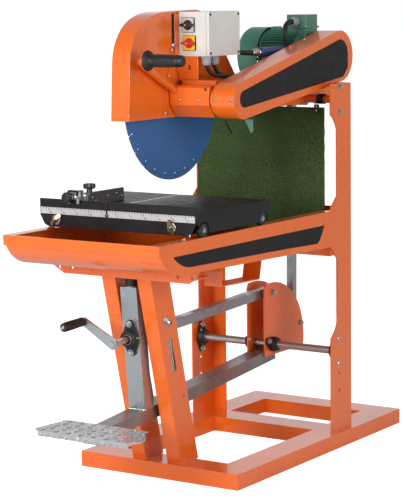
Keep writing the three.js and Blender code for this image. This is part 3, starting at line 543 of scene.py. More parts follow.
def stand_welds():
    """Beads round the feet of the columns and legs, and where the legs meet the cross angle."""
    part = Part(ORANGE)
    top = Box("base_frame").high.z
    for side, node in ((-1, "column_left"), (1, "column_right")):
        column = Box(node)
        outer = max(abs(column.low.x), abs(column.high.x))
        front, back = column.low.y, column.high.y
        for start, end in (((outer, front), (outer, back)), ((outer - 5, front), (outer - 5, back - 5)),
                           ((outer - 53, back - 5), (outer - 7, back - 5))):
            part.weld((side * start[0], start[1], top), (side * end[0], end[1], top))
    for node in ("leg_left", "leg_right"):
        leg = Box(node)
        part.weld((leg.low.x, LEG_FRONT, top), (leg.high.x, LEG_FRONT, top))
        for x in (leg.low.x, leg.high.x):
            part.weld((x, LEG_FRONT, top), (x, LEG_FRONT + 96, top))
        crown = Box("front_cross_angle").low.z
        front = LEG_FRONT - LEG_LEAN * (crown - top)
        part.weld((leg.low.x + 2, front, crown), (leg.high.x - 2, front, crown), 1.6)
    part.finish("stand_welds", "frame", "orange_paint", 0)


def stand_bolts():
    """Screws through the columns for the pivot tube and the shaft bearings."""
    part = Part(ZINC_BRIGHT)
    tube, shaft = pivot("head_tilt"), pivot("pedal_swing")
    for side in (-1, 1):
        outer = side * Box("column_right").high.x
        for z in (tube.z + 40, tube.z - 40):
            part.bolt((outer, tube.y, z), X * side, 13, 7, 11, 0.3)
        for z in (shaft.z + 41, shaft.z - 41):
            part.dome((outer, shaft.y, z), X * side, 9, 5)
    part.bolt((73, -624, 260), X, 8, 4, 6)
    part.finish("stand_bolts", "frame", "bright_steel", 0)


def leg_slot_strip():
    """The plated strip seen through the right leg's slot, and the clamp behind it."""
    part = Part(CAST)
    height, middle = 398, LEG_FRONT + 48
    top = Box("base_frame").high.z
    place = move(67, middle - LEG_LEAN * (height - top), height) @ spin(math.atan(LEG_LEAN), "X")
    part.block((-1.5, -18, -66), (1.5, 18, 66), place)
    part.use(ZINC_BRIGHT)
    for y in (-5, 3):
        part.sweep([place @ Vector((3, y + 0.05 * z, z)) for z in (-60, 60)], circle(0, 0, 2.6, 12))
    part.finish("leg_slot_strip", "frame", "galvanised_steel", 0.3)


def leg_wing_bolt():
    """The wing nut on the right leg, on its dished washer."""
    box = Box("leg_wing_bolt")
    foot = (box.high.x - 12, box.middle.y, pivot("leg_bolt_turn").z)
    part = Part(ZINC_BRIGHT)
    place = facing(foot, X, Z)
    part.lathe([(0, 0), (14, 0), (14, 2), (13, 2.6), (6, 2.6), (5, 3), (5, 9), (0, 9)], place, 32)
    wing(part, place @ move(0, 0, 8) @ spin(0.9), 23, 5)
    part.use(CAST).disc(4.5, 9, 15, place, 20)
    part.finish("leg_wing_nut", "leg_bolt", "bright_steel", 0.4, ["leg_wing_bolt"])


def wing(part, place, reach, thick):
    """A wing nut's boss with two lobed wings, drawn across the place's X."""
    part.lathe([(0, -2), (7, -2), (7.5, 0), (6, 5), (4, 6), (0, 6)], place, 24)
    for side in (-1, 1):
        lean = spin(side * 0.45, "Y")
        lobe = hull((side * 5, 0, 3.2), (side * reach * 0.75, 0, reach * 0.27), steps=24)
        part.prism(lobe, thick, place @ lean @ move(0, 0, -thick / 2 + 2))


def flange_bearing(part, place, reach=45, thick=9, nipple=0.6):
    """A two-bolt flange bearing with a grease nipple: Z looks out of its wall, X runs through its bolts."""
    part.use(CAST)
    outline = hull((-reach, 0, 11.5), (0, 0, 29), (reach, 0, 11.5))
    part.prism(outline, thick, place)
    part.lathe([(29, thick - 1), (28.5, thick + 3), (26, thick + 12), (24.5, thick + 15), (20.5, thick + 16),
                (20, thick + 13), (15, thick + 13), (15, thick - 1)], place, 48, closed=True)
    part.use(WORN)
    part.lathe([(19.5, thick), (19.5, thick + 13), (17, thick + 18), (13.2, thick + 18), (13.2, thick)],
               place, 40, closed=True)
    part.use(ZINC_BRIGHT)
    for side in (-1, 1):
        at = place @ Vector((side * reach, 0, thick))
        part.bolt(at, place.to_3x3() @ Z, 13, 7, 10.5, side)
    out = Vector((math.cos(nipple), math.sin(nipple), 0))
    at = place @ (27 * out + Z * (thick + 7))
    part.lathe([(0, -2), (3, -2), (3, 4), (1.8, 5), (2.4, 8), (0, 9)],
               facing(at, place.to_3x3() @ out), 12)


def shaft_bearings():
    """The flange bearings of the pedal shaft, on the columns' inner walls."""
    for side, node in ((-1, "shaft_bearing_left"), (1, "shaft_bearing_right")):
        box = Box(node)
        wall = box.high.x if side > 0 else box.low.x
        part = Part(CAST)
        flange_bearing(part, facing((wall, box.middle.y, box.middle.z), X * -side, Z), 42, 6)
        part.finish(node + "_unit", "frame", "cast_housing", 0.8, [node])


# ---------- pedal lever ----------
SHAFT = pivot("pedal_swing")
SHAFT.x = Box("lever_tube").middle.x
LEVER_TILT = 0.0908
LEVER = Matrix.Translation(SHAFT) @ spin(LEVER_TILT, "X")
TUBE_TOP = -19
UPRIGHT_FRONT = -738


def pivot_flanges():
    """Bearing flanges on the outer faces of the two pivot plates, and the plates' screws."""
    part = Part(CAST)
    for side, node in ((-1, "pivot_plate_left"), (1, "pivot_plate_right")):
        box = Box(node)
        face = box.high.x if side > 0 else box.low.x
        place = facing((face, SHAFT.y, SHAFT.z), X * side, Y - Z * 0.42)
        part.use(CAST).prism(hull((-36, 0, 11), (0, 0, 25), (36, 0, 11)), 9, place)
        part.lathe([(25, 8), (24, 18), (21, 24), (13, 24), (13, 8)], place, 40, closed=True)
        part.use(ZINC_BRIGHT)
        for way in (-36, 36):
            part.bolt(place @ Vector((way, 0, 9)), X * side, 13, 7, 10)
            part.dome(place @ Vector((way, 0, -5)), X * -side, 8, 5)
        part.bolt((face, -8, 491), X * side, 17, 8, 13)
        part.bolt((face, Box("rod_pin").middle.y, Box("rod_pin").middle.z), X * side, 17, 7, 12)
    part.finish("pivot_plate_flanges", "lever", "cast_housing", 0.5)


def stop_buffer():
    """The rubber stop and its washer on top of the upright."""
    place = LEVER @ move(0, UPRIGHT_FRONT + 20, TUBE_TOP + 383)
    part = Part(RUBBER)
    part.lathe([(0, 0.5), (18, 0.5), (19, 2), (19, 22), (17, 26), (12, 27), (0, 27)], place, 40)
    part.use(ZINC_BRIGHT)
    part.lathe([(0, 0.3), (21, 0.3), (21, 2), (19.2, 2), (0, 2)], place, 40)
    part.finish("stop_buffer_pad", "lever", "black_rubber", 0, ["stop_buffer"])


def crank_bearing():
    """The spindle's flange bearing on the front of the upright, with a green cap on its nipple."""
    part = Part(CAST)
    face = LEVER @ Vector((0, UPRIGHT_FRONT - 0.3, 207))
    place = facing(face, LEVER.to_3x3() @ -Y, LEVER.to_3x3() @ Z)
    flange_bearing(part, place, nipple=2.2)
    part.use(CAP_GREEN)
    at = place @ Vector((6, -30, 14))
    part.lathe([(0, 0), (4, 0), (4, 6), (3, 8), (0, 8)], facing(at, X), 16)
    part.finish("crank_bearing_unit", "lever", "cast_housing", 0.8, ["crank_bearing"])


def pedal():
    """A folded tread plate: the deck, its apron and rows of raised bars."""
    front, back, top, sheet, drop = -1036, -918, TUBE_TOP + 0.3, 4, 13
    corners = [(-128, back), (-172, front + 16), (-150, front), (178, front), (205, front + 26),
               (206, front + 51), (160, back)]
    part = Part(TREAD).prism(corners, sheet, LEVER @ move(0, 0, top))
    apron = Part(TREAD).block((-150, front, top - drop), (178, front + sheet, top + 1), LEVER)
    part.combine(apron, "UNION")
    pitch = 23

    def bars(long, wide, count, place):
        """A row of raised bars, each turned the other way from the last."""
        shape = hull((-long, 0, wide * 0.5), (0, 0, wide), (long, 0, wide * 0.5), steps=12)
        for i in range(count):
            turn = spin(math.radians(45 if i % 2 else -45))
            part.prism(shape, 2.6, place @ move(i * pitch, 0, -0.2) @ turn)

    for row in range(5):
        y = front + 13 + row * pitch
        spread = (y - front) / (back - front)
        left = -162 + 34 * spread + (8 if row % 2 else 0)
        count = int((196 - 30 * spread - left) // pitch) + 1
        bars(8, 2.6, count, LEVER @ move(left, y, top + sheet))
    upright = LEVER @ move(-138, front, top - 8) @ spin(math.pi / 2, "X")
    bars(6, 2.4, 14, upright)
    part.finish("pedal_tread", "lever", "galvanised_steel", 0.4, ["pedal_plate"])


def lever_welds():
    """Beads round the upright's foot."""
    part = Part(ZINC)
    half, front, back = 30, UPRIGHT_FRONT, UPRIGHT_FRONT + 40
    beads = [((x, front), (x, back)) for x in (-half, half)]
    beads += [((-half, y), (half, y)) for y in (front, back)]
    for start, end in beads:
        part.weld(LEVER @ Vector((*start, TUBE_TOP)), LEVER @ Vector((*end, TUBE_TOP)), 2.6)
    part.finish("lever_welds", "lever", "galvanised_steel", 0)


# ---------- crank ----------
CRANK_AXIS = Vector(JOINTS["crank_turn"]["axis"])
CRANK_RISE = math.radians(30)
ALONG_ARM = -X * math.cos(CRANK_RISE) + X.cross(CRANK_AXIS) * math.sin(CRANK_RISE)
ARM_LENGTH = (pivot("crank_grip_turn") - pivot("crank_turn")).dot(ALONG_ARM)
ARM = facing(pivot("crank_turn"), CRANK_AXIS, ALONG_ARM)
STUD = ARM @ move(ARM_LENGTH, 0, 0)


def crank_arm():
    """The crank's arm, hollowed on its face, with the nut of the spindle and the stud of the grip."""
    part = Part(ZINC)
    web = hull((0, 0, 16), (ARM_LENGTH, 0, 11))
    part.prism(web, 11, ARM @ move(0, 0, -3), holes=[circle(0, 0, 8.4)])
    hollow = hull((26, 0, 8.5), (ARM_LENGTH - 22, 0, 5))
    part.combine(Part(ZINC).prism(hollow, 20, ARM @ move(0, 0, 2)))
    part.use(STEEL)
    part.lathe([(0, -16), (3, -16), (5, -14), (5, -3), (0, -3)], STUD, 20)
    part.lathe([(0, -108), (4, -108), (5, -106), (5, -8), (0, -8)], STUD, 20)
    part.use(ZINC_BRIGHT)
    part.lathe([(0, -7.5), (9, -7.5), (11.5, -5.5), (12, -3), (0, -3)], ARM, 32)
    part.lathe([(0, -9), (2, -9), (2.6, -8), (2.6, -7), (0, -7)], ARM, 16)
    part.bolt(STUD @ Vector((0, 0, 8)), CRANK_AXIS, 13, 6, 9)
    part.finish("crank_lever", "crank", "galvanised_steel", 0.9, ["crank_arm"])


def crank_grip():
    """The crank's ribbed rubber grip and the washer at its end."""
    end, start = -5, -101

    def ribs(radius, height, turn):
        inside = start + 14 < height < end - 22 and radius > 10
        return radius - (0.55 * max(0, math.cos(16 * turn)) if inside else 0)

    profile = [(5.4, start), (9, start), (12, start + 1.5), (13.8, start + 6), (14.2, start + 13),
               (14.4, start + 15), (14.4, start + 45), (13.8, end - 24), (13.4, end - 20),
               (14.2, end - 6), (13, end - 1), (10, end), (5.4, end)]
    grip = Part(RUBBER).lathe(profile, STUD, 64, True, ribs)
    grip.use(ZINC_BRIGHT)
    grip.lathe([(0, start - 3), (3, start - 3), (6, start - 1.5), (6, start + 0.5), (0, start + 0.5)],
               STUD, 24)
    grip.finish("crank_grip_sleeve", "crank_handle", "black_rubber", 0, ["crank_grip"])


# ---------- tilting head ----------
ARBOR, MOTOR = pivot("blade_spin"), pivot("motor_spin")
GUARD = Box("belt_guard")


HOOD_TOP = 1436
HOOD_LEFT = -66


def hood_profile(inset):
    """Side view of the blade hood; inset draws the room inside its sheet."""
    low, top = 1111 - 2 * inset, HOOD_TOP - inset
    front = (-777 + inset, 1285)
    top_left = bezier(front, (-768 + inset, 1372 - inset), (-700, 1426 - inset), (-591, 1432 - inset), 28)
    shoulder = bezier((-430, top), (-391 - inset / 2, top - 1), (-360 - inset, 1424 - inset),
                      (-338 - inset, 1400), 10)
    return [(-787 + inset, low), front, *top_left, (-430, top), *shoulder,
            (-200 - inset, 1226), (-200 - inset, low)]


def seam_y(z):
    """The hood's seam leans back as it rises."""
    return -622 + (z - 1050) * 87 / 410


def hood_shell(keep_front):
    """The half of the hollow hood on one side of its seam."""
    sheet, wide = 2.5, -HOOD_LEFT
    shell = Part(ORANGE).prism(hood_profile(0), wide, side_view(HOOD_LEFT))
    shell.combine(Part(ORANGE).prism(hood_profile(sheet), wide - 2 * sheet, side_view(HOOD_LEFT + sheet)))
    gap = 0 if keep_front else 0.3
    far = 900 if keep_front else -900
    low, high = seam_y(1050) + gap, seam_y(1460) + gap
    outline = [(low, 1050), (high, 1460), (high + far, 1460), (low + far, 1050)]
    return shell.combine(Part(ORANGE).prism(outline, wide + 20, side_view(HOOD_LEFT - 10)))


def blade_hood():
    """The hood's two halves; the rear one has the hole for the arbor."""
    hood_shell(True).finish("hood_front", "head", "orange_paint", 0.9, ["blade_guard_front"])
    rear = hood_shell(False)
    rear.combine(Part(ORANGE).disc(20, -9, 9, facing(ARBOR, X)))
    rear.finish("hood_rear", "head", "orange_paint", 0.9, ["blade_guard_rear"])


def hood_trim():
    """The lip along the seam, its screws, and a black strip by the box bracket that paints the shade under
    the bracket's wing.
    """
    lip, screws, wide = Part(ORANGE), Part(ZINC_BRIGHT), 5
    low, high, crown = 1112, 1324, seam_y(1432)
    edge = [(seam_y(low), low), (seam_y(high), high), (seam_y(high) + wide, high), (seam_y(low) + wide, low)]
    for x in (0, HOOD_LEFT - 3):
        lip.prism(edge, 3, side_view(x))
    strip = [(crown + 0.3, 1431), (crown + wide, 1431.2), (crown + wide, 1433.2), (crown + 0.3, 1433)]
    lip.prism(strip, -HOOD_LEFT, side_view(HOOD_LEFT))
    lip.finish("hood_seam_lip", "head", "orange_paint", 0.4)
    for z in (1126, 1238, 1316):
        screws.dome((0, seam_y(z) + 10, z), X, 6.5, 4)
        screws.dome((HOOD_LEFT, seam_y(z) + 10, z), -X, 6.5, 4)
    screws.finish("hood_screws", "head", "bright_steel", 0)
    # painted shadow: a thin black rubber block stands where the bracket's wing shades the hood's side
    shade_strip = Part(RUBBER).block((0.2, -557, 1326), (1.8, -545, 1426))
    shade_strip.finish("bracket_painted_shade", "head", "black_rubber", 0.3)


def belt_guard():
    """The hollow guard round the belt, the black film on its face and its screws."""
    inner, outer, sheet = GUARD.low.x, GUARD.high.x, 2.5
    front, rear = (ARBOR.y, ARBOR.z, 57), (70, MOTOR.z, 83)

    def band(inset):
        return hull(*[(y, z, radius - inset) for y, z, radius in (front, rear)], steps=120)

    shell = Part(ORANGE).prism(band(0), outer - inner, side_view(inner))
    shell.combine(Part(ORANGE).prism(band(sheet), outer - inner - sheet + 5, side_view(inner - 5)))
    shell.finish("belt_guard_shell", "head", "orange_paint", 1.2, ["belt_guard"])

    film = hull((-516, 1169, 26), (70, 1282, 50), (104, 1247, 16), (78, 1233, 24))
    Part(DECAL_BLACK).prism(film, 0.4, side_view(outer)).finish(
        "belt_guard_film", "head", "black_paint", 0)

    screws = Part(ZINC_BRIGHT)
    for x in (167, 226):
        screws.dome((x, ARBOR.y - 56.8, ARBOR.z + 4), -Y, 5, 3)
    slope = math.atan2(rear[1] - front[1], rear[0] - front[0]) + 0.04
    up = Vector((0, -math.sin(slope), math.cos(slope)))
    for share in (0.16, 0.83):
        y, z, radius = (a + (b - a) * share for a, b in zip(front, rear))
        screws.dome(Vector((168, y, z)) + up * radius, up, 5, 3)
    screws.finish("belt_guard_screws", "head", "bright_steel", 0)


def handle():
    """The bent tube beside the hood and its fluted sleeve with a flange."""
    tube, start = 11, Vector((20, -564, 1190))
    grip = Box("handle_grip")
    level, left, right = grip.middle, grip.low.x, grip.high.x - 6
    corner = Vector((15, level.y, level.z))
    near = corner.lerp(start, 0.2)
    path = [start.lerp(near, i / 6) for i in range(6)]
    path += [near, *bezier(near, near.lerp(corner, 0.7), corner + X * 8, corner + X * 34, 16)]
    path.append(Vector((right - 6, level.y, level.z)))
    part = Part(ORANGE).sweep(path, circle(0, 0, tube, 32))
    part.weld(start + Vector((-9, -11, 6)), start + Vector((9, -11, 6)), 2)
    part.finish("handle_bar", "head", "orange_paint", 0, ["handle_tube"])

    long, flute, fade = right - left, 2.2, 8

    def grooves(radius, height, turn):
        depth = max(0, min(1, (height - 22) / fade, (long - 30 - height) / fade))
        return radius - flute * depth * max(0, math.cos(8 * turn + 0.4)) ** 0.5

    body = [(18.6 + 2 * math.sin(math.pi * i / 12) - i / 12, 20 + i * (long - 50) / 12) for i in range(13)]
    profile = [(tube + 0.3, 0), (27, 0), (30, 1.5), (31, 4), (29.5, 8), (24, 11), (19, 16), *body,
               (17.6, long - 28), (18.6, long - 24), (18.6, long - 20), (17, long - 16), (17.4, long - 8),
               (15.5, long - 3), (10, long), (0, long), (0, long - 4), (tube + 0.3, long - 4)]
    sleeve = Part(RUBBER).lathe(profile, facing((left, level.y, level.z), X, Z), 72, True, grooves)
    sleeve.finish("handle_sleeve", "head", "black_rubber", 0, ["handle_grip"])


def cover_screws():
    """Screws of the arbor cover and the box bracket, with a flat black disc that paints the shade of the
    cover's vent hole.
    """
    part = Part(ZINC_BRIGHT)
    front = Box("arbor_cover").low.y
    for x in (37, 105):
        part.dome((x, front, ARBOR.z + 1), -Y, 5, 3)
    part.dome((2, -552, 1331), X, 7, 4)
    part.bolt((5, -470, 1250), X, 13, 6, 9)
    # painted shade: a low black dome stands for the dark inside the cover's vent hole
    part.use(PLASTIC).dome((134, front, 1199), -Y, 5, 1.2)
    part.finish("cover_screws", "head", "bright_steel", 0)


# ---------- switch box ----------
def control_box():
    """The box with holes for its two switches, the lid on its right and the lid's screws."""
    body, lid = Box("control_box"), Box("control_box_lid")
    wall = 3

    def shell(low_x, high_x, open_low):
        """A box with one open side: the low one or the high one."""
        outer = rectangle(body.low.y, body.low.z, body.high.y, body.high.z)
        inner = rectangle(body.low.y + wall, body.low.z + wall, body.high.y - wall, body.high.z - wall)
        start, end = (low_x - 1, high_x - wall) if open_low else (low_x + wall, high_x + 1)
        part = Part(GREY).prism(outer, high_x - low_x, side_view(low_x))
        return part.combine(Part(GREY).prism(inner, end - start, side_view(start)))

    box = shell(body.low.x, body.high.x, False)
    for x, z in ((41, 1391), (45, 1336)):
        box.combine(Part(GREY).prism(circle(x, z, 6), 12, front_view(body.low.y - 2)))
    box.finish("switch_box", "head", "box_grey", 1.6, ["control_box"])
    cover = shell(lid.low.x, lid.high.x, True)
    cover.finish("switch_box_lid", "head", "box_grey", 1.8, ["control_box_lid"])
    screws = Part(PLASTIC)
    screw = [(0, 0), (4.5, 0), (4.5, 0.8), (3.6, 1.2), (1.6, 1.2), (1.6, 0.5), (0, 0.5)]
    for y in (body.low.y + 9, body.high.y - 9):
        for z in (body.low.z + 9, body.high.z - 9):
            screws.lathe(screw, facing((lid.high.x, y, z), X), 20)
    screws.finish("switch_box_screws", "head", "black_plastic", 0)


def switch(name, body, plate, knob, slot):
    """A rotary switch: a frame and plate on the box, and the knob with its pinch bar."""
    centre, half = pivot(name + "_turn"), 23
    face = Box("control_box").low.y
    hole = circle(centre.x, centre.z, 6.2)
    mount = Part(PLASTIC)
    rim = rounded(centre.x, centre.z, half - 3, half - 3, 3)
    mount.prism(rim, 3.2, front_view(face - 3.2), holes=[hole])
    inner = rounded(centre.x - 0.6, centre.z, half - 4.5, half - 4, 2.6)
    mount.use(plate).prism(inner, 0.8, front_view(face - 4), holes=[hole])
    mount.use(PLASTIC)
    for x, z in circle(centre.x, centre.z, 18.6, 4):
        mount.block((x - 0.5, face - 4.3, z - 1.4), (x + 0.5, face - 3.9, z + 1.4))
    mount.finish(name + "_plate", "head", "black_plastic", 0)

    part = Part(knob)
    place = facing((centre.x, face - 4.4, centre.z), -Y, X)
    part.lathe([(0, 0), (15.5, 0), (15.5, 2.2), (14, 4.5), (11, 6), (0, 6.2)], place, 48)
    grip = hull((-17, 0, 3.6), (17, 0, 4.4), (0, 0, 6.6), steps=24)
    part.prism(grip, 13, place @ move(0, 0, 4))
    part.disc(5.4, -8, 0, place, 20)
    part.use(SILVER)
    part.lathe([(0, 16.8), (2.2, 16.8), (2.2, 17.4), (0, 17.5)], place, 16)
    part.finish(name + "_grip", body, slot, 0.7, [name + "_knob"])


def switches():
    """The selector and, under it, the main switch in red on yellow."""
    switch("selector", "selector_switch", SILVER, PLASTIC, "black_plastic")
    switch("main_switch", "main_switch", YELLOW, RED, "red_plastic")


def gland(part, place):
    """A cable gland: a hexagon against the wall, a domed nut and the cable's rubber sealing ring."""
    part.use(GLAND)
    part.lathe([(0, 0), (16, 0), (16, 7), (14.5, 8), (0, 8)], place, 6)
    part.lathe([(0, 8), (13, 8), (14.5, 9), (14.5, 19), (12.5, 25), (9.5, 28), (0, 28)], place, 14)
    part.use(RUBBER)
    part.lathe([(0, 28), (8.6, 28), (8, 30), (0, 30)], place, 24)


def curve_through(points, steps=10):
    """A smooth path through points, by the Catmull-Rom formula."""
    knots = [Vector(point) for point in points]
    knots = [knots[0] * 2 - knots[1], *knots, knots[-1] * 2 - knots[-2]]
    path = []
    for a, b, c, d in zip(knots, knots[1:], knots[2:], knots[3:]):
        for i in range(steps):
            t = i / steps
            path.append(0.5 * (2 * b + (c - a) * t + (2 * a - 5 * b + 4 * c - d) * t * t
                               + (3 * b - a - 3 * c + d) * t ** 3))
    return [*path, knots[-2]]


BOX_FOOT = Box("control_box").low.z
TERMINAL_FRONT = Box("terminal_box").low.y


def cable_glands():
    """Two glands under the switch box and one on the motor's terminal housing."""
    glands = Part(GLAND)
    for y in (-505, -462):
        gland(glands, facing((92, y, BOX_FOOT), -Z))
    gland(glands, facing((100, TERMINAL_FRONT + 2, 1391), -Y))
    glands.finish("cable_glands", "head", "box_grey", 0.5)


def cables():
    """Two cables from the switch box and one from the motor, which meet under the head, and the plug's."""
    runs = (
        (6.5, 20, [(92, -505, BOX_FOOT - 24), (93, -500, 1258), (100, -484, 1241), (114, -450, 1233),
                   (128, -390, 1231), (132, -320, 1227), (131, -240, 1208), (130, -160, 1193)]),
        (6.5, 20, [(92, -462, BOX_FOOT - 24), (93, -458, 1258), (98, -446, 1243), (108, -424, 1234),
                   (115, -380, 1231), (117, -322, 1228), (116, -240, 1209), (115, -160, 1193)]),
        (8, 24, [(100, TERMINAL_FRONT - 20, 1391), (100, -20, 1392), (102, -52, 1380), (106, -64, 1350),
                 (110, -60, 1310), (116, -75, 1270), (126, -110, 1230), (130, -160, 1193)]),
        (8.5, 24, [(104, -348, 1304), (108, -330, 1302), (116, -305, 1300), (120, -284, 1300)]),
    )
    part = Part(RUBBER)
    for radius, steps, points in runs:
        part.sweep(curve_through(points), circle(0, 0, radius, steps))
    part.finish("cables", "head", "black_rubber", 0)


def inline_connector():
    """The plug behind the box: a steel nut, a blue barrel and the bracket that holds it."""
    plug = Part(STEEL)
    place = facing((120, -290, 1300), Y, Z)
    plug.lathe([(0, 0), (9, 0), (10, 2), (10, 9), (11.5, 10), (11.5, 22), (10.5, 23), (10.5, 34), (12, 36),
                (12, 41), (0, 41)], place, 20)
    plug.use(BLUE)
    plug.lathe([(0, 41), (13.5, 41), (15.5, 44), (15.5, 188), (14, 192), (0, 192)], place, 40)
    plug.use(ORANGE)
    plug.block((118, -190, 1236), (122, -160, 1286))
    plug.block((118, -190, 1236), (147, -160, 1240))
    plug.finish("inline_connector", "head", "black_plastic", 0.5)


# ---------- motor ----------
MOTOR_START = Box("fan_cowl").high.x + 0.3


def motor_frame():
    """The finned barrel with its end shields, feet, terminal base and lifting eye."""
    body = Part(GREEN)
    place = facing((MOTOR_START, MOTOR.y, MOTOR.z), X, Z)
    long, fins = 112 - MOTOR_START, 44
    body.lathe([(0, 0), (88, 0), (88, 7), (78, 9), (78, long - 8), (84, long - 6), (84, long + 12),
                (66, long + 20), (40, long + 26), (24, long + 28), (0, long + 28)], place, 64)
    fin = [(76, -1.5), (88.4, -0.8), (88.4, 0.8), (76, 1.5)]
    for i in range(fins):
        body.prism(fin, long - 18, place @ spin(2 * math.pi * i / fins) @ move(0, 0, 9))
    for y in (MOTOR.y - 44, MOTOR.y + 44):
        body.block((-14, y - 22, 1180.3), (95, y + 22, 1212))
    body.block((60, MOTOR.y - 36, 1334), (136, MOTOR.y + 36, 1369))
    crown = [(-16, 1358), (-13, 1371), (-6, 1375), (10, 1375), (16, 1371), (20, 1358)]
    body.prism(crown, 26, front_view(MOTOR.y - 13))
    body.finish("motor_frame", "head", "motor_green", 0.7, ["motor_body"])


def fan_cover():
    """The dished cowl with three rings of slots."""
    start = Box("fan_cowl").low.x
    reach = Box("fan_cowl").high.x - start
    cowl = Part(GREEN).lathe(
        [(0, 0), (64, 0), (80, 2.5), (90, 9), (95, 20), (95, reach), (92.5, reach), (92.5, 21),
         (88, 11), (79, 5), (64, 2.5), (0, 2.5)], facing((start, MOTOR.y, MOTOR.z), X, Z), 96)
    grille = Part(GREEN)
    middle = facing((start - 5, MOTOR.y, MOTOR.z), X, Z)
    for ring, count in ((22, 10), (37, 16), (52, 22)):
        slot = hull((ring - 4.5, 0, 2.6), (ring + 4.5, 0, 2.6), steps=16)
        for i in range(count):
            grille.prism(slot, 12, middle @ spin(2 * math.pi * i / count))
    cowl.combine(grille)
    cowl.finish("fan_cover", "head", "motor_green", 0.5, ["fan_cowl"])


def terminal_housing():
    """The box of terminals on top of the motor, on its base, with its screws."""
    part = Part(GREEN)
    x, y = 99, MOTOR.y
    part.prism(rounded(x, y, 32, 32, 6), 39, move(0, 0, 1374.5))
    part.prism(rounded(x, y, 38, 38, 4), 6, move(0, 0, 1369.5))
    part.prism(hull((64, y - 20, 6), (64, y + 20, 6), (70, y, 20), steps=24), 26, move(0, 0, 1378))
    part.use(ZINC_BRIGHT)
    for corner in (x - 35, x + 35):
        for side in (-35, 35):
            part.dome((corner, y + side, 1375.5), Z, 3, 2)
    part.finish("terminal_housing", "head", "motor_green", 3, ["terminal_box"])


def motor_bolts():
    """Four bolts through the plate under the motor."""
    bolts = Part(ZINC_BRIGHT)
    for x in (-5, 85):
        for side in (-1, 1):
            bolts.bolt((x, MOTOR.y + side * 78, 1180), Z, 13, 8, 10)
    bolts.finish("motor_bolts", "head", "bright_steel", 0)


# ---------- blade ----------
def saw_blade():
    """A segmented disc: rim slots end in round keyholes, and each segment stands proud."""
    box = Box("blade")
    radius, slots, rim, gap = 250, 26, 9, 2
    pitch = 2 * math.pi / slots
    half_core, half = 1.4, (box.high.x - box.low.x) / 2

    def polar(angle, along, across=0.0):
        return (along * math.cos(angle) - across * math.sin(angle),
                along * math.sin(angle) + across * math.cos(angle))

    sides = [(radius - rim, -gap), (radius - rim - 1.5, -1.1), (radius - 16, -1.1)]
    turns = [0.5 + j * (2 * math.pi - 1) / 12 for j in range(13)]
    keyhole = [(radius - 19 + 3.3 * math.cos(t), -3.3 * math.sin(t)) for t in turns]
    slot = [*sides, *keyhole, *[(along, -across) for along, across in reversed(sides)]]
    outline = []
    for i in range(slots):
        angle = (i - 0.25) * pitch
        outline += [polar(angle, along, across) for along, across in slot]
        outline += [polar(angle + pitch * share / 6, radius - rim) for share in range(1, 6)]
    place = facing((box.middle.x - half_core, ARBOR.y, ARBOR.z), X, Y)
    part = Part(BLADE)
    part.prism(outline, 2 * half_core, place, holes=[circle(0, 0, 13.8, 48)])
    part.use(SEGMENT)
    edge = math.asin(gap / radius)
    for i in range(slots):
        turns = [(i - 0.25) * pitch + edge + (pitch - 2 * edge) * j / 8 for j in range(9)]
        tooth = [polar(t, radius) for t in turns] + [polar(t, radius - rim) for t in reversed(turns)]
        part.prism(tooth, 2 * half, place @ move(0, 0, half_core - half))
    part.finish("saw_disc", "arbor", "blade_blue", 0, ["blade"])


# ---------- sliding table ----------
TABLE = Box("table")
DECK = TABLE.high.z - 17


BLADE_X = Box("blade").middle.x
TABLE_FACE = TABLE.low.y


def table_studs():
    """Low anti-slip bars in a weave all over the deck, but for the strip by the blade."""
    studs = Part(TABLE_BLACK)
    for column in range(31):
        for row in range(24):
            x = TABLE.low.x + 14 + column * 18.4
            y = TABLE_FACE + 22 + row * 16
            if abs(x - BLADE_X) < 16 or x > TABLE.high.x - 8:
                continue
            turn = spin(math.radians(30 if (column + row) % 2 else -60))
            studs.block((-5, -1.2, 0), (5, 1.2, 0.3), move(x, y, DECK) @ turn)
    studs.finish("table_studs", "sliding_table", "black_paint", 0)


def slot_liner():
    """Bright strips along the blade's slot, and the liner on the slot's wall."""
    liner = Part(POLISHED)
    for x, wide in ((BLADE_X - 11.5, 5.8), (BLADE_X + 5.7, 1.3)):
        liner.block((x, -727, DECK), (x + wide, TABLE.high.y, DECK + 0.5))
    liner.block((BLADE_X - 5.9, -726, DECK - 12), (BLADE_X - 5.1, TABLE.high.y - 2, DECK + 0.5))
    liner.finish("slot_liner", "sliding_table", "bright_steel", 0)


def table_rule():
    """The rule along the table's front: marks each centimetre, longer ones each five."""
    rule, top, middle = Part(ALLOY), 852, 842
    rule.block((-282, TABLE_FACE - 0.8, 832), (282, TABLE_FACE + 0.4, top))
    rule.use(DECAL_BLACK)
    for i in range(-28, 29):
        x, tall = i * 10, (11 if i % 5 == 0 else 5)
        rule.block((x - 0.7, TABLE_FACE - 0.95, top - tall), (x + 0.7, TABLE_FACE - 0.7, top))
    for x in (-277, 277):
        rule.use(ZINC_BRIGHT).dome((x, TABLE_FACE - 0.8, middle), -Y, 3, 1.2)
    rule.finish("table_rule", "sliding_table", "bright_steel", 0)


def rule_numbers():
    """A number each five centimetres, both ways from the rule's middle, to the right of its mark."""
    numbers = Part(DECAL_BLACK)
    for step in range(-5, 6):
        letters = bpy.data.curves.new("number", "FONT")
        letters.body, letters.size, letters.align_x = str(abs(step) * 5), 9, "CENTER"
        carrier = add_object("number", letters)
        flat = evaluated_mesh(carrier)
        flat.transform(move(step * 50 + 7, TABLE_FACE - 0.9, 834) @ spin(math.pi / 2, "X"))
        numbers.mesh.from_mesh(flat)
        bpy.data.objects.remove(carrier)
    numbers.finish("rule_numbers", "sliding_table", "black_paint", 0)


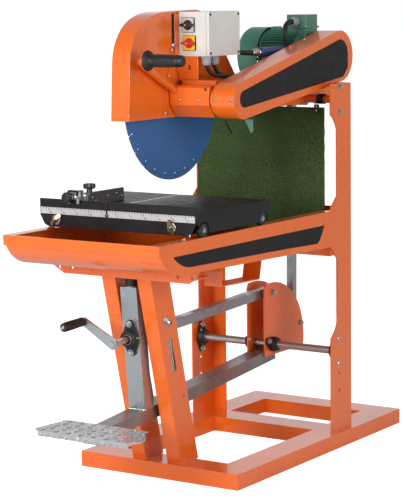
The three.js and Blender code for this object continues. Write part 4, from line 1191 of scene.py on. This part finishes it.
def rule_pointer():
    """The pointer in line with the blade, with its ring over the rule."""
    pointer = Part(PLASTIC)
    pointer.block((BLADE_X - 3.5, TABLE_FACE - 2.5, 842), (BLADE_X + 1.5, TABLE_FACE - 0.9, 876))
    pointer.lathe([(2.5, -1), (5.5, -1), (5.5, 1), (2.5, 1)],
                  facing((BLADE_X - 1, TABLE_FACE - 1.9, 837), -Y), 24, True)
    pointer.finish("rule_pointer", "sliding_table", "black_plastic", 0)


def wheels():
    """The table's four rollers, each with a bearing ring and three rivets, and their axles' screws."""
    caps = Part(ZINC_BRIGHT)
    for corner, body in (("front_left", "wheel_fl"), ("front_right", "wheel_fr"),
                         ("rear_left", "wheel_rl"), ("rear_right", "wheel_rr")):
        box = Box("wheel_" + corner)
        inner, outer, out = box.low.x, box.high.x, X
        if corner.endswith("left"):
            inner, outer, out = outer, inner, -X
        wide, tyre = abs(outer - inner), (box.high.z - box.low.z) / 2
        place = facing((inner, box.middle.y, box.middle.z), out, Z)
        part = Part(RUBBER)
        part.lathe([(5.3, 0), (tyre - 3, 0), (tyre - 0.6, 1), (tyre, 3), (tyre, wide - 3.5),
                    (tyre - 0.7, wide - 1), (tyre - 3, wide), (13, wide), (12, wide - 2),
                    (5.3, wide - 2)], place, 56, True)
        part.use(WORN)
        ring = [(8.4, wide - 2.2), (11.4, wide - 2.2), (11.4, wide - 0.6), (8.4, wide - 0.6)]
        part.lathe(ring, place, 40, True)
        part.use(ZINC_BRIGHT)
        for i in range(3):
            at = place @ spin(i * 2 * math.pi / 3) @ Vector((9.9, 0, wide - 0.6))
            part.lathe([(0, 0), (1.2, 0), (0.9, 0.5), (0, 0.6)], facing(at, out), 10)
        part.finish("roller_" + corner, body, "black_paint", 0, ["wheel_" + corner])
        caps.bolt(Vector((outer, box.middle.y, box.middle.z)) - out, out, 8, 3.6, 7.5)
    caps.finish("axle_screws", "sliding_table", "bright_steel", 0)


def wing_screws():
    """The two brass wing nuts on the table's front, on their washers, nuts and studs."""
    for side, turn in (("left", 0.75), ("right", 1.85)):
        box = Box("table_wing_screw_" + side)
        foot = (box.middle.x, TABLE_FACE - 0.3, pivot(f"wing_screw_{side}_turn").z)
        place = facing(foot, -Y, X) @ spin(turn)
        part = Part(ZINC_BRIGHT)
        part.lathe([(0, 0), (15, 0), (15.5, 1), (15, 2.4), (0, 2.4)], place, 36)
        part.disc(9, 2.4, 7, place, 6)
        part.lathe([(0, 2.4), (4, 2.4), (4, 16), (3, 17), (0, 17)], place, 20)
        part.use(BRASS)
        wing(part, place @ move(0, 0, 11), 25, 5.5)
        part.finish("wing_nut_" + side, "wing_screw_" + side, "brass", 0.5, ["table_wing_screw_" + side])


def star_knob(part, box, out, radius, lobes):
    """A lobed hand knob on its collar, as deep as its CAD box; out points out of the work."""
    depth = abs((box.high - box.low).dot(out))
    place = facing(box.middle - out * depth / 2, out)
    part.lathe([(0, 0), (radius * 0.5, 0), (radius * 0.42, depth * 0.45), (0, depth * 0.45)], place, 28)

    def lobed(size, height, turn):
        return size * (0.94 + 0.06 * math.cos(lobes * turn)) if height > depth * 0.3 else size

    crown = [(0, 0.4), (0.8, 0.4), (0.98, 0.5), (1, 0.6), (1, 0.82), (0.9, 0.96), (0.5, 1), (0, 1)]
    part.lathe([(radius * a, depth * b) for a, b in crown], place, 56, ripple=lobed)


def fence_bracket():
    """The stop's clamp: two ribs over the table's lip, joined by plates, and the clamp screw."""
    box, clamp = Box("fence_bracket"), Box("fence_clamp_knob").middle
    front, top, rib = box.low.y, box.high.z, 9
    part = Part(ZINC_BRIGHT)
    profile = [(front, 868), (front, top), (front + 24, top), (front + 24, DECK + 0.5),
               (front + 19, DECK + 0.5), (front + 19, top - 4), (front + 5, top - 4), (front + 5, 868)]
    for x in (-172, -138):
        part.prism(profile, rib, side_view(x))
    part.block((-170, front, TABLE.high.z + 14), (-131, front + 5, top))
    part.block((-170, front, top - 4), (-131, front + 24, top))
    part.block((-130, front + 12, 873), (Box("fence_plate").low.x - 0.4, front + 24, 896))
    part.use(STEEL).disc(3.8, 0, 16, facing((clamp.x, front + 4, clamp.z), -Y), 20)
    part.finish("fence_clamp_bracket", "fence", "galvanised_steel", 0.8, ["fence_bracket"])


def fence_knobs():
    """The clamp's knob on the front and the lock's knob on top."""
    for name, out, radius, lobes in (("fence_clamp", -Y, 17, 10), ("fence_lock", Z, 19, 8)):
        knob = Part(PLASTIC)
        star_knob(knob, Box(name + "_knob"), out, radius, lobes)
        knob.finish(name + "_handwheel", name, "black_plastic", 0, [name + "_knob"])


def fence_screws():
    """The heads of screws on the stop's plate."""
    face = Box("fence_plate").middle.x + 4
    screws = Part(ZINC_BRIGHT)
    for y, z in ((-822, 884), (-806, 872), (-742, 882), (-700, 886), (-672, 876)):
        screws.dome((face, y, z), X, 3, 1.4)
    screws.finish("fence_screws", "fence", "bright_steel", 0)


# ---------- splash curtain ----------
def drape(grid):
    """Hangs a sheet by its first two rows, and moves its points towards where they settle."""
    frames, most = 24, 6
    rows, columns = len(grid), len(grid[0])
    mesh = bpy.data.meshes.new("sheet")
    corners = [[j * columns + i, j * columns + i + 1, (j + 1) * columns + i + 1, (j + 1) * columns + i]
               for j in range(rows - 1) for i in range(columns - 1)]
    mesh.from_pydata([point * MM for row in grid for point in row], [], corners)
    sheet = add_object("sheet", mesh)
    sheet.vertex_groups.new(name="top").add(range(2 * columns), 1.0, "REPLACE")
    cloth = sheet.modifiers.new("cloth", "CLOTH")
    rules = cloth.settings
    rules.vertex_group_mass, rules.quality, rules.mass = "top", 6, 0.4
    rules.tension_stiffness = rules.compression_stiffness = rules.shear_stiffness = 40
    rules.bending_stiffness, rules.air_damping = 12, 4
    cloth.point_cache.frame_start, cloth.point_cache.frame_end = 1, frames
    for step in range(1, frames + 1):
        bpy.context.scene.frame_set(step)
    points = [point for row in grid for point in row]
    for point, corner in zip(points, evaluated_mesh(sheet).vertices):
        shift = corner.co / MM - point
        point += shift * min(1, most / max(shift.length, 1e-6))
    bpy.data.meshes.remove(mesh)
    bpy.context.scene.frame_set(1)


def curtain_grid(columns, rows):
    """The curtain's points, row by row from its top edge: folds that deepen as they fall."""
    box = Box("splash_curtain")
    top, foot, right = box.high.z, box.low.z, box.high.x

    def left(z):
        """The sheet is cut narrower where it passes the pivot."""
        return box.low.x + 7 * min(1, max(0, (z - 1066) / 12))

    def sheet_point(i, j):
        drop, across = j / rows, i / columns
        z = top - (top - foot) * drop
        x = left(z) + (right - left(z)) * across
        x += (2 * across - 1) ** 3 * 1.6 * noise.noise(Vector((across * 3, z / 25, 7)))
        fold = math.sin(across * 8.8 + 0.6) * 2.6 + math.sin(across * 19.5) * 0.8
        if j == rows:
            z += 1.2 + 1.2 * noise.noise(Vector((x / 30, 0, 3)))
        y = box.middle.y + fold * drop + noise.noise(Vector((x / 90, z / 90, 0))) * 1.2
        return Vector((x, y, z))

    return [[sheet_point(i, j) for i in range(columns + 1)] for j in range(rows + 1)]


def curtain():
    """A sheet of artificial grass hung from its top edge: draped, then thickened and given its pile."""
    columns, rows, blades = 56, 48, 16000
    random.seed(11)
    grid = curtain_grid(columns, rows)
    drape(grid)
    part = Part(TURF)
    sheets = [[part.ring(move(0, y, 0), row) for row in grid] for y in (-1.6, 1.8)]
    for sheet in sheets:
        for upper, lower in zip(sheet, sheet[1:]):
            for i in range(columns):
                part.face((upper[i], upper[i + 1], lower[i + 1], lower[i]))
    around = ([(0, i) for i in range(columns)] + [(j, columns) for j in range(rows)]
              + [(rows, i) for i in range(columns, 0, -1)] + [(j, 0) for j in range(rows, 0, -1)])
    part.skin([[sheet[j][i] for j, i in around] for sheet in sheets])
    for _ in range(blades):
        u, v = random.random(), random.random()
        i, j = min(int(u * columns), columns - 1), min(int(v * rows), rows - 1)
        root = grid[j][i].lerp(grid[j][i + 1], u * columns - i)
        root = root + (grid[j + 1][i] - grid[j][i]) * (v * rows - j) - Y * 1.4
        tip = root + Vector((random.uniform(-2.4, 2.4), -random.uniform(1.6, 3.4), -random.uniform(1, 6)))
        side = Vector((random.uniform(0.5, 1), 0, random.uniform(-0.5, 0.5))) * 0.8
        part.face([part.mesh.verts.new(point) for point in (root - side, root + side, tip)])
    part.finish("turf_curtain", "curtain", "green_matting", 0, ["splash_curtain"])


def curtain_clips():
    """Bands round the cross tube, and the tabs with two screws each that the curtain hangs from."""
    bands, tabs, tube = Part(CAST), Part(CAST), pivot("head_tilt")
    radius, face, clips = 13.5, -40.5, (-222, 208)
    for x in clips:
        band, hole = (circle(tube.y, tube.z, radius + more, 40) for more in (3.2, 0.6))
        bands.prism(band, 24, side_view(x - 12), holes=[hole])
        bands.block((x - 9, face, 1128), (x + 9, tube.y - 12, 1132))
        tabs.block((x - 9, face, 1100), (x + 9, face + 2.9, 1126))
    tabs.use(ZINC_BRIGHT)
    for x in clips:
        for z in (1106, 1119):
            tabs.dome((x, face, z), -Y, 3.6, 1.8)
    bands.finish("tube_bands", "frame", "cast_housing", 0.5)
    tabs.finish("curtain_tabs", "curtain", "cast_housing", 0.5)


def splash_flaps():
    """The pale flap and the black one that hang under the head."""
    place = side_view(98.5)
    flaps = Part(PALE_GREEN).prism([(-305, 1091), (-256, 1088), (-254, 1052), (-266, 1045)], 2.5, place)
    flaps.use(RUBBER).prism(
        [(-422, 1102), (-401, 1083), (-376, 1051), (-384, 1050), (-409, 1083)], 2.5, place)
    flaps.finish("splash_flaps", "head", "black_rubber", 0.4)


# ---------- pieces kept from the CAD model ----------
def dress_frame():
    """The finish and rounding of each CAD node that stays as it is."""
    finishes = (
        (ORANGE, 3.0, ["base_frame"]),
        (ORANGE, 2.0, ["leg_left", "leg_right"]),
        (ORANGE, 1.0, ["column_left", "column_right", "cross_tube", "front_cross_angle", "rear_cross_bar",
                       "pivot_plate_left", "pivot_plate_right", "head_arm", "box_bracket"]),
        (ORANGE, 0.7, ["arbor_cover"]),
        (TUBE, 4.5, ["lever_tube"]),
        (ZINC, 4.5, ["upright_tube"]),
        (ZINC, 2.2, ["spindle_tube", "lift_rod"]),
        (STEEL, 0.5, ["pedal_shaft", "crank_spindle", "rod_pin", "rod_top_pin", "arbor_shaft",
                      "blade_flange", "arbor_pulley", "motor_pulley"]),
        (RUBBER, 0.4, ["drive_belt"]),
        (TABLE_BLACK, 0.9, ["table"]),
        (WORN, 0.8, ["fence_plate"]),
    )
    for material, edge, nodes in finishes:
        for node in nodes:
            dress(node, material, edge)


# ---------- studio ----------
def backdrop():
    """White to the camera, and round the saw a soft light that is strongest behind and to the left."""
    world = bpy.data.worlds.new("studio")
    world.use_nodes = True
    nodes = Nodes(world.node_tree)
    way = nodes.add("ShaderNodeTexCoord").outputs["Generated"]
    behind = nodes.add("ShaderNodeVectorMath", {0: way, 1: (-0.55, 0.82, 0)}, operation="DOT_PRODUCT")
    height = nodes.add("ShaderNodeSeparateXYZ", {0: way}).outputs["Z"]
    glow = nodes.add("ShaderNodeMath", {
        0: nodes.spread(behind.outputs["Value"], 0.35, 0.95, 0, 0.5),
        1: nodes.spread(height, 1, 0.45, 0.15, 0.8)}, operation="MULTIPLY").outputs[0]
    seen = nodes.add("ShaderNodeLightPath").outputs["Is Camera Ray"]
    background = nodes.tree.nodes["Background"]
    strength = nodes.add("ShaderNodeMix", {0: seen, 2: glow, 3: 1.0}).outputs[0]
    nodes.join(background.inputs["Strength"], strength)
    nodes.join(background.inputs["Color"], (1, 1, 1, 1))
    return world


def studio():
    """The backdrop, a pale floor that glows to the camera alone, a key lamp and a fill."""
    scene = bpy.context.scene
    scene.view_settings.view_transform = "Standard"
    scene.world = backdrop()
    reach = 60
    mesh = bpy.data.meshes.new("floor")
    mesh.from_pydata([(a, b, 0) for a, b in rectangle(-reach, -reach, reach, reach)], [], [(0, 1, 2, 3)])
    pale = Shader("studio_floor")
    seen = pale.add("ShaderNodeLightPath").outputs["Is Camera Ray"]
    pale.set(Base_Color=pale.mix(pale.noise(3), srgb("F4F4F4"), srgb("EFEFEF")), Roughness=0.9,
             Specular_IOR_Level=0.0, Emission_Color=[1, 1, 1, 1],
             Emission_Strength=pale.spread(seen, 0, 0.85, 0, 1))
    mesh.materials.append(pale.material)
    add_object("floor", mesh)

    target = Vector((0, -0.3, 0.75))
    for name, at, size, power in (("key", (-0.5, -5.2, 2.0), 2.2, 185), ("fill", (4.6, -1.2, 1.8), 2.4, 85)):
        lamp = bpy.data.lights.new(name, "AREA")
        lamp.size, lamp.energy = size, power
        aim = (target - Vector(at)).to_track_quat("-Z", "Y")
        add_object(name, lamp).matrix_world = Matrix.LocRotScale(at, aim, None)


def camera():
    """Stands to the operator's right of the saw, a little above the table."""
    azimuth, elevation, roll = map(math.radians, (33.72, 7.84, -0.744))
    back = Vector((math.sin(azimuth) * math.cos(elevation), -math.cos(azimuth) * math.cos(elevation),
                   math.sin(elevation)))
    right = Vector((math.cos(azimuth), math.sin(azimuth), 0))
    up = back.cross(right)
    lens = bpy.data.cameras.new("camera")
    lens.lens, lens.sensor_width, lens.clip_end = 133.59, 36, 100
    holder = add_object("camera", lens)
    turned = Matrix((right * math.cos(roll) + up * math.sin(roll),
                     up * math.cos(roll) - right * math.sin(roll), back)).transposed().to_4x4()
    turned.translation = (3.23178, -5.24520, 1.48253)
    holder.matrix_world = turned
    bpy.context.scene.camera = holder


BUILDERS = (
    dress_frame, tray, tray_strap, tray_band, stand_welds, stand_bolts, leg_slot_strip, leg_wing_bolt,
    shaft_bearings, pivot_flanges, stop_buffer, crank_bearing, pedal, lever_welds, crank_arm, crank_grip,
    blade_hood, hood_trim, belt_guard, handle, cover_screws, control_box, switches, cable_glands, cables,
    inline_connector, motor_frame, fan_cover, terminal_housing, motor_bolts, saw_blade, table_studs,
    slot_liner, table_rule, rule_numbers, rule_pointer, wheels, wing_screws, fence_bracket, fence_knobs,
    fence_screws, curtain, curtain_clips, splash_flaps, studio, camera)
for build in BUILDERS:
    build()
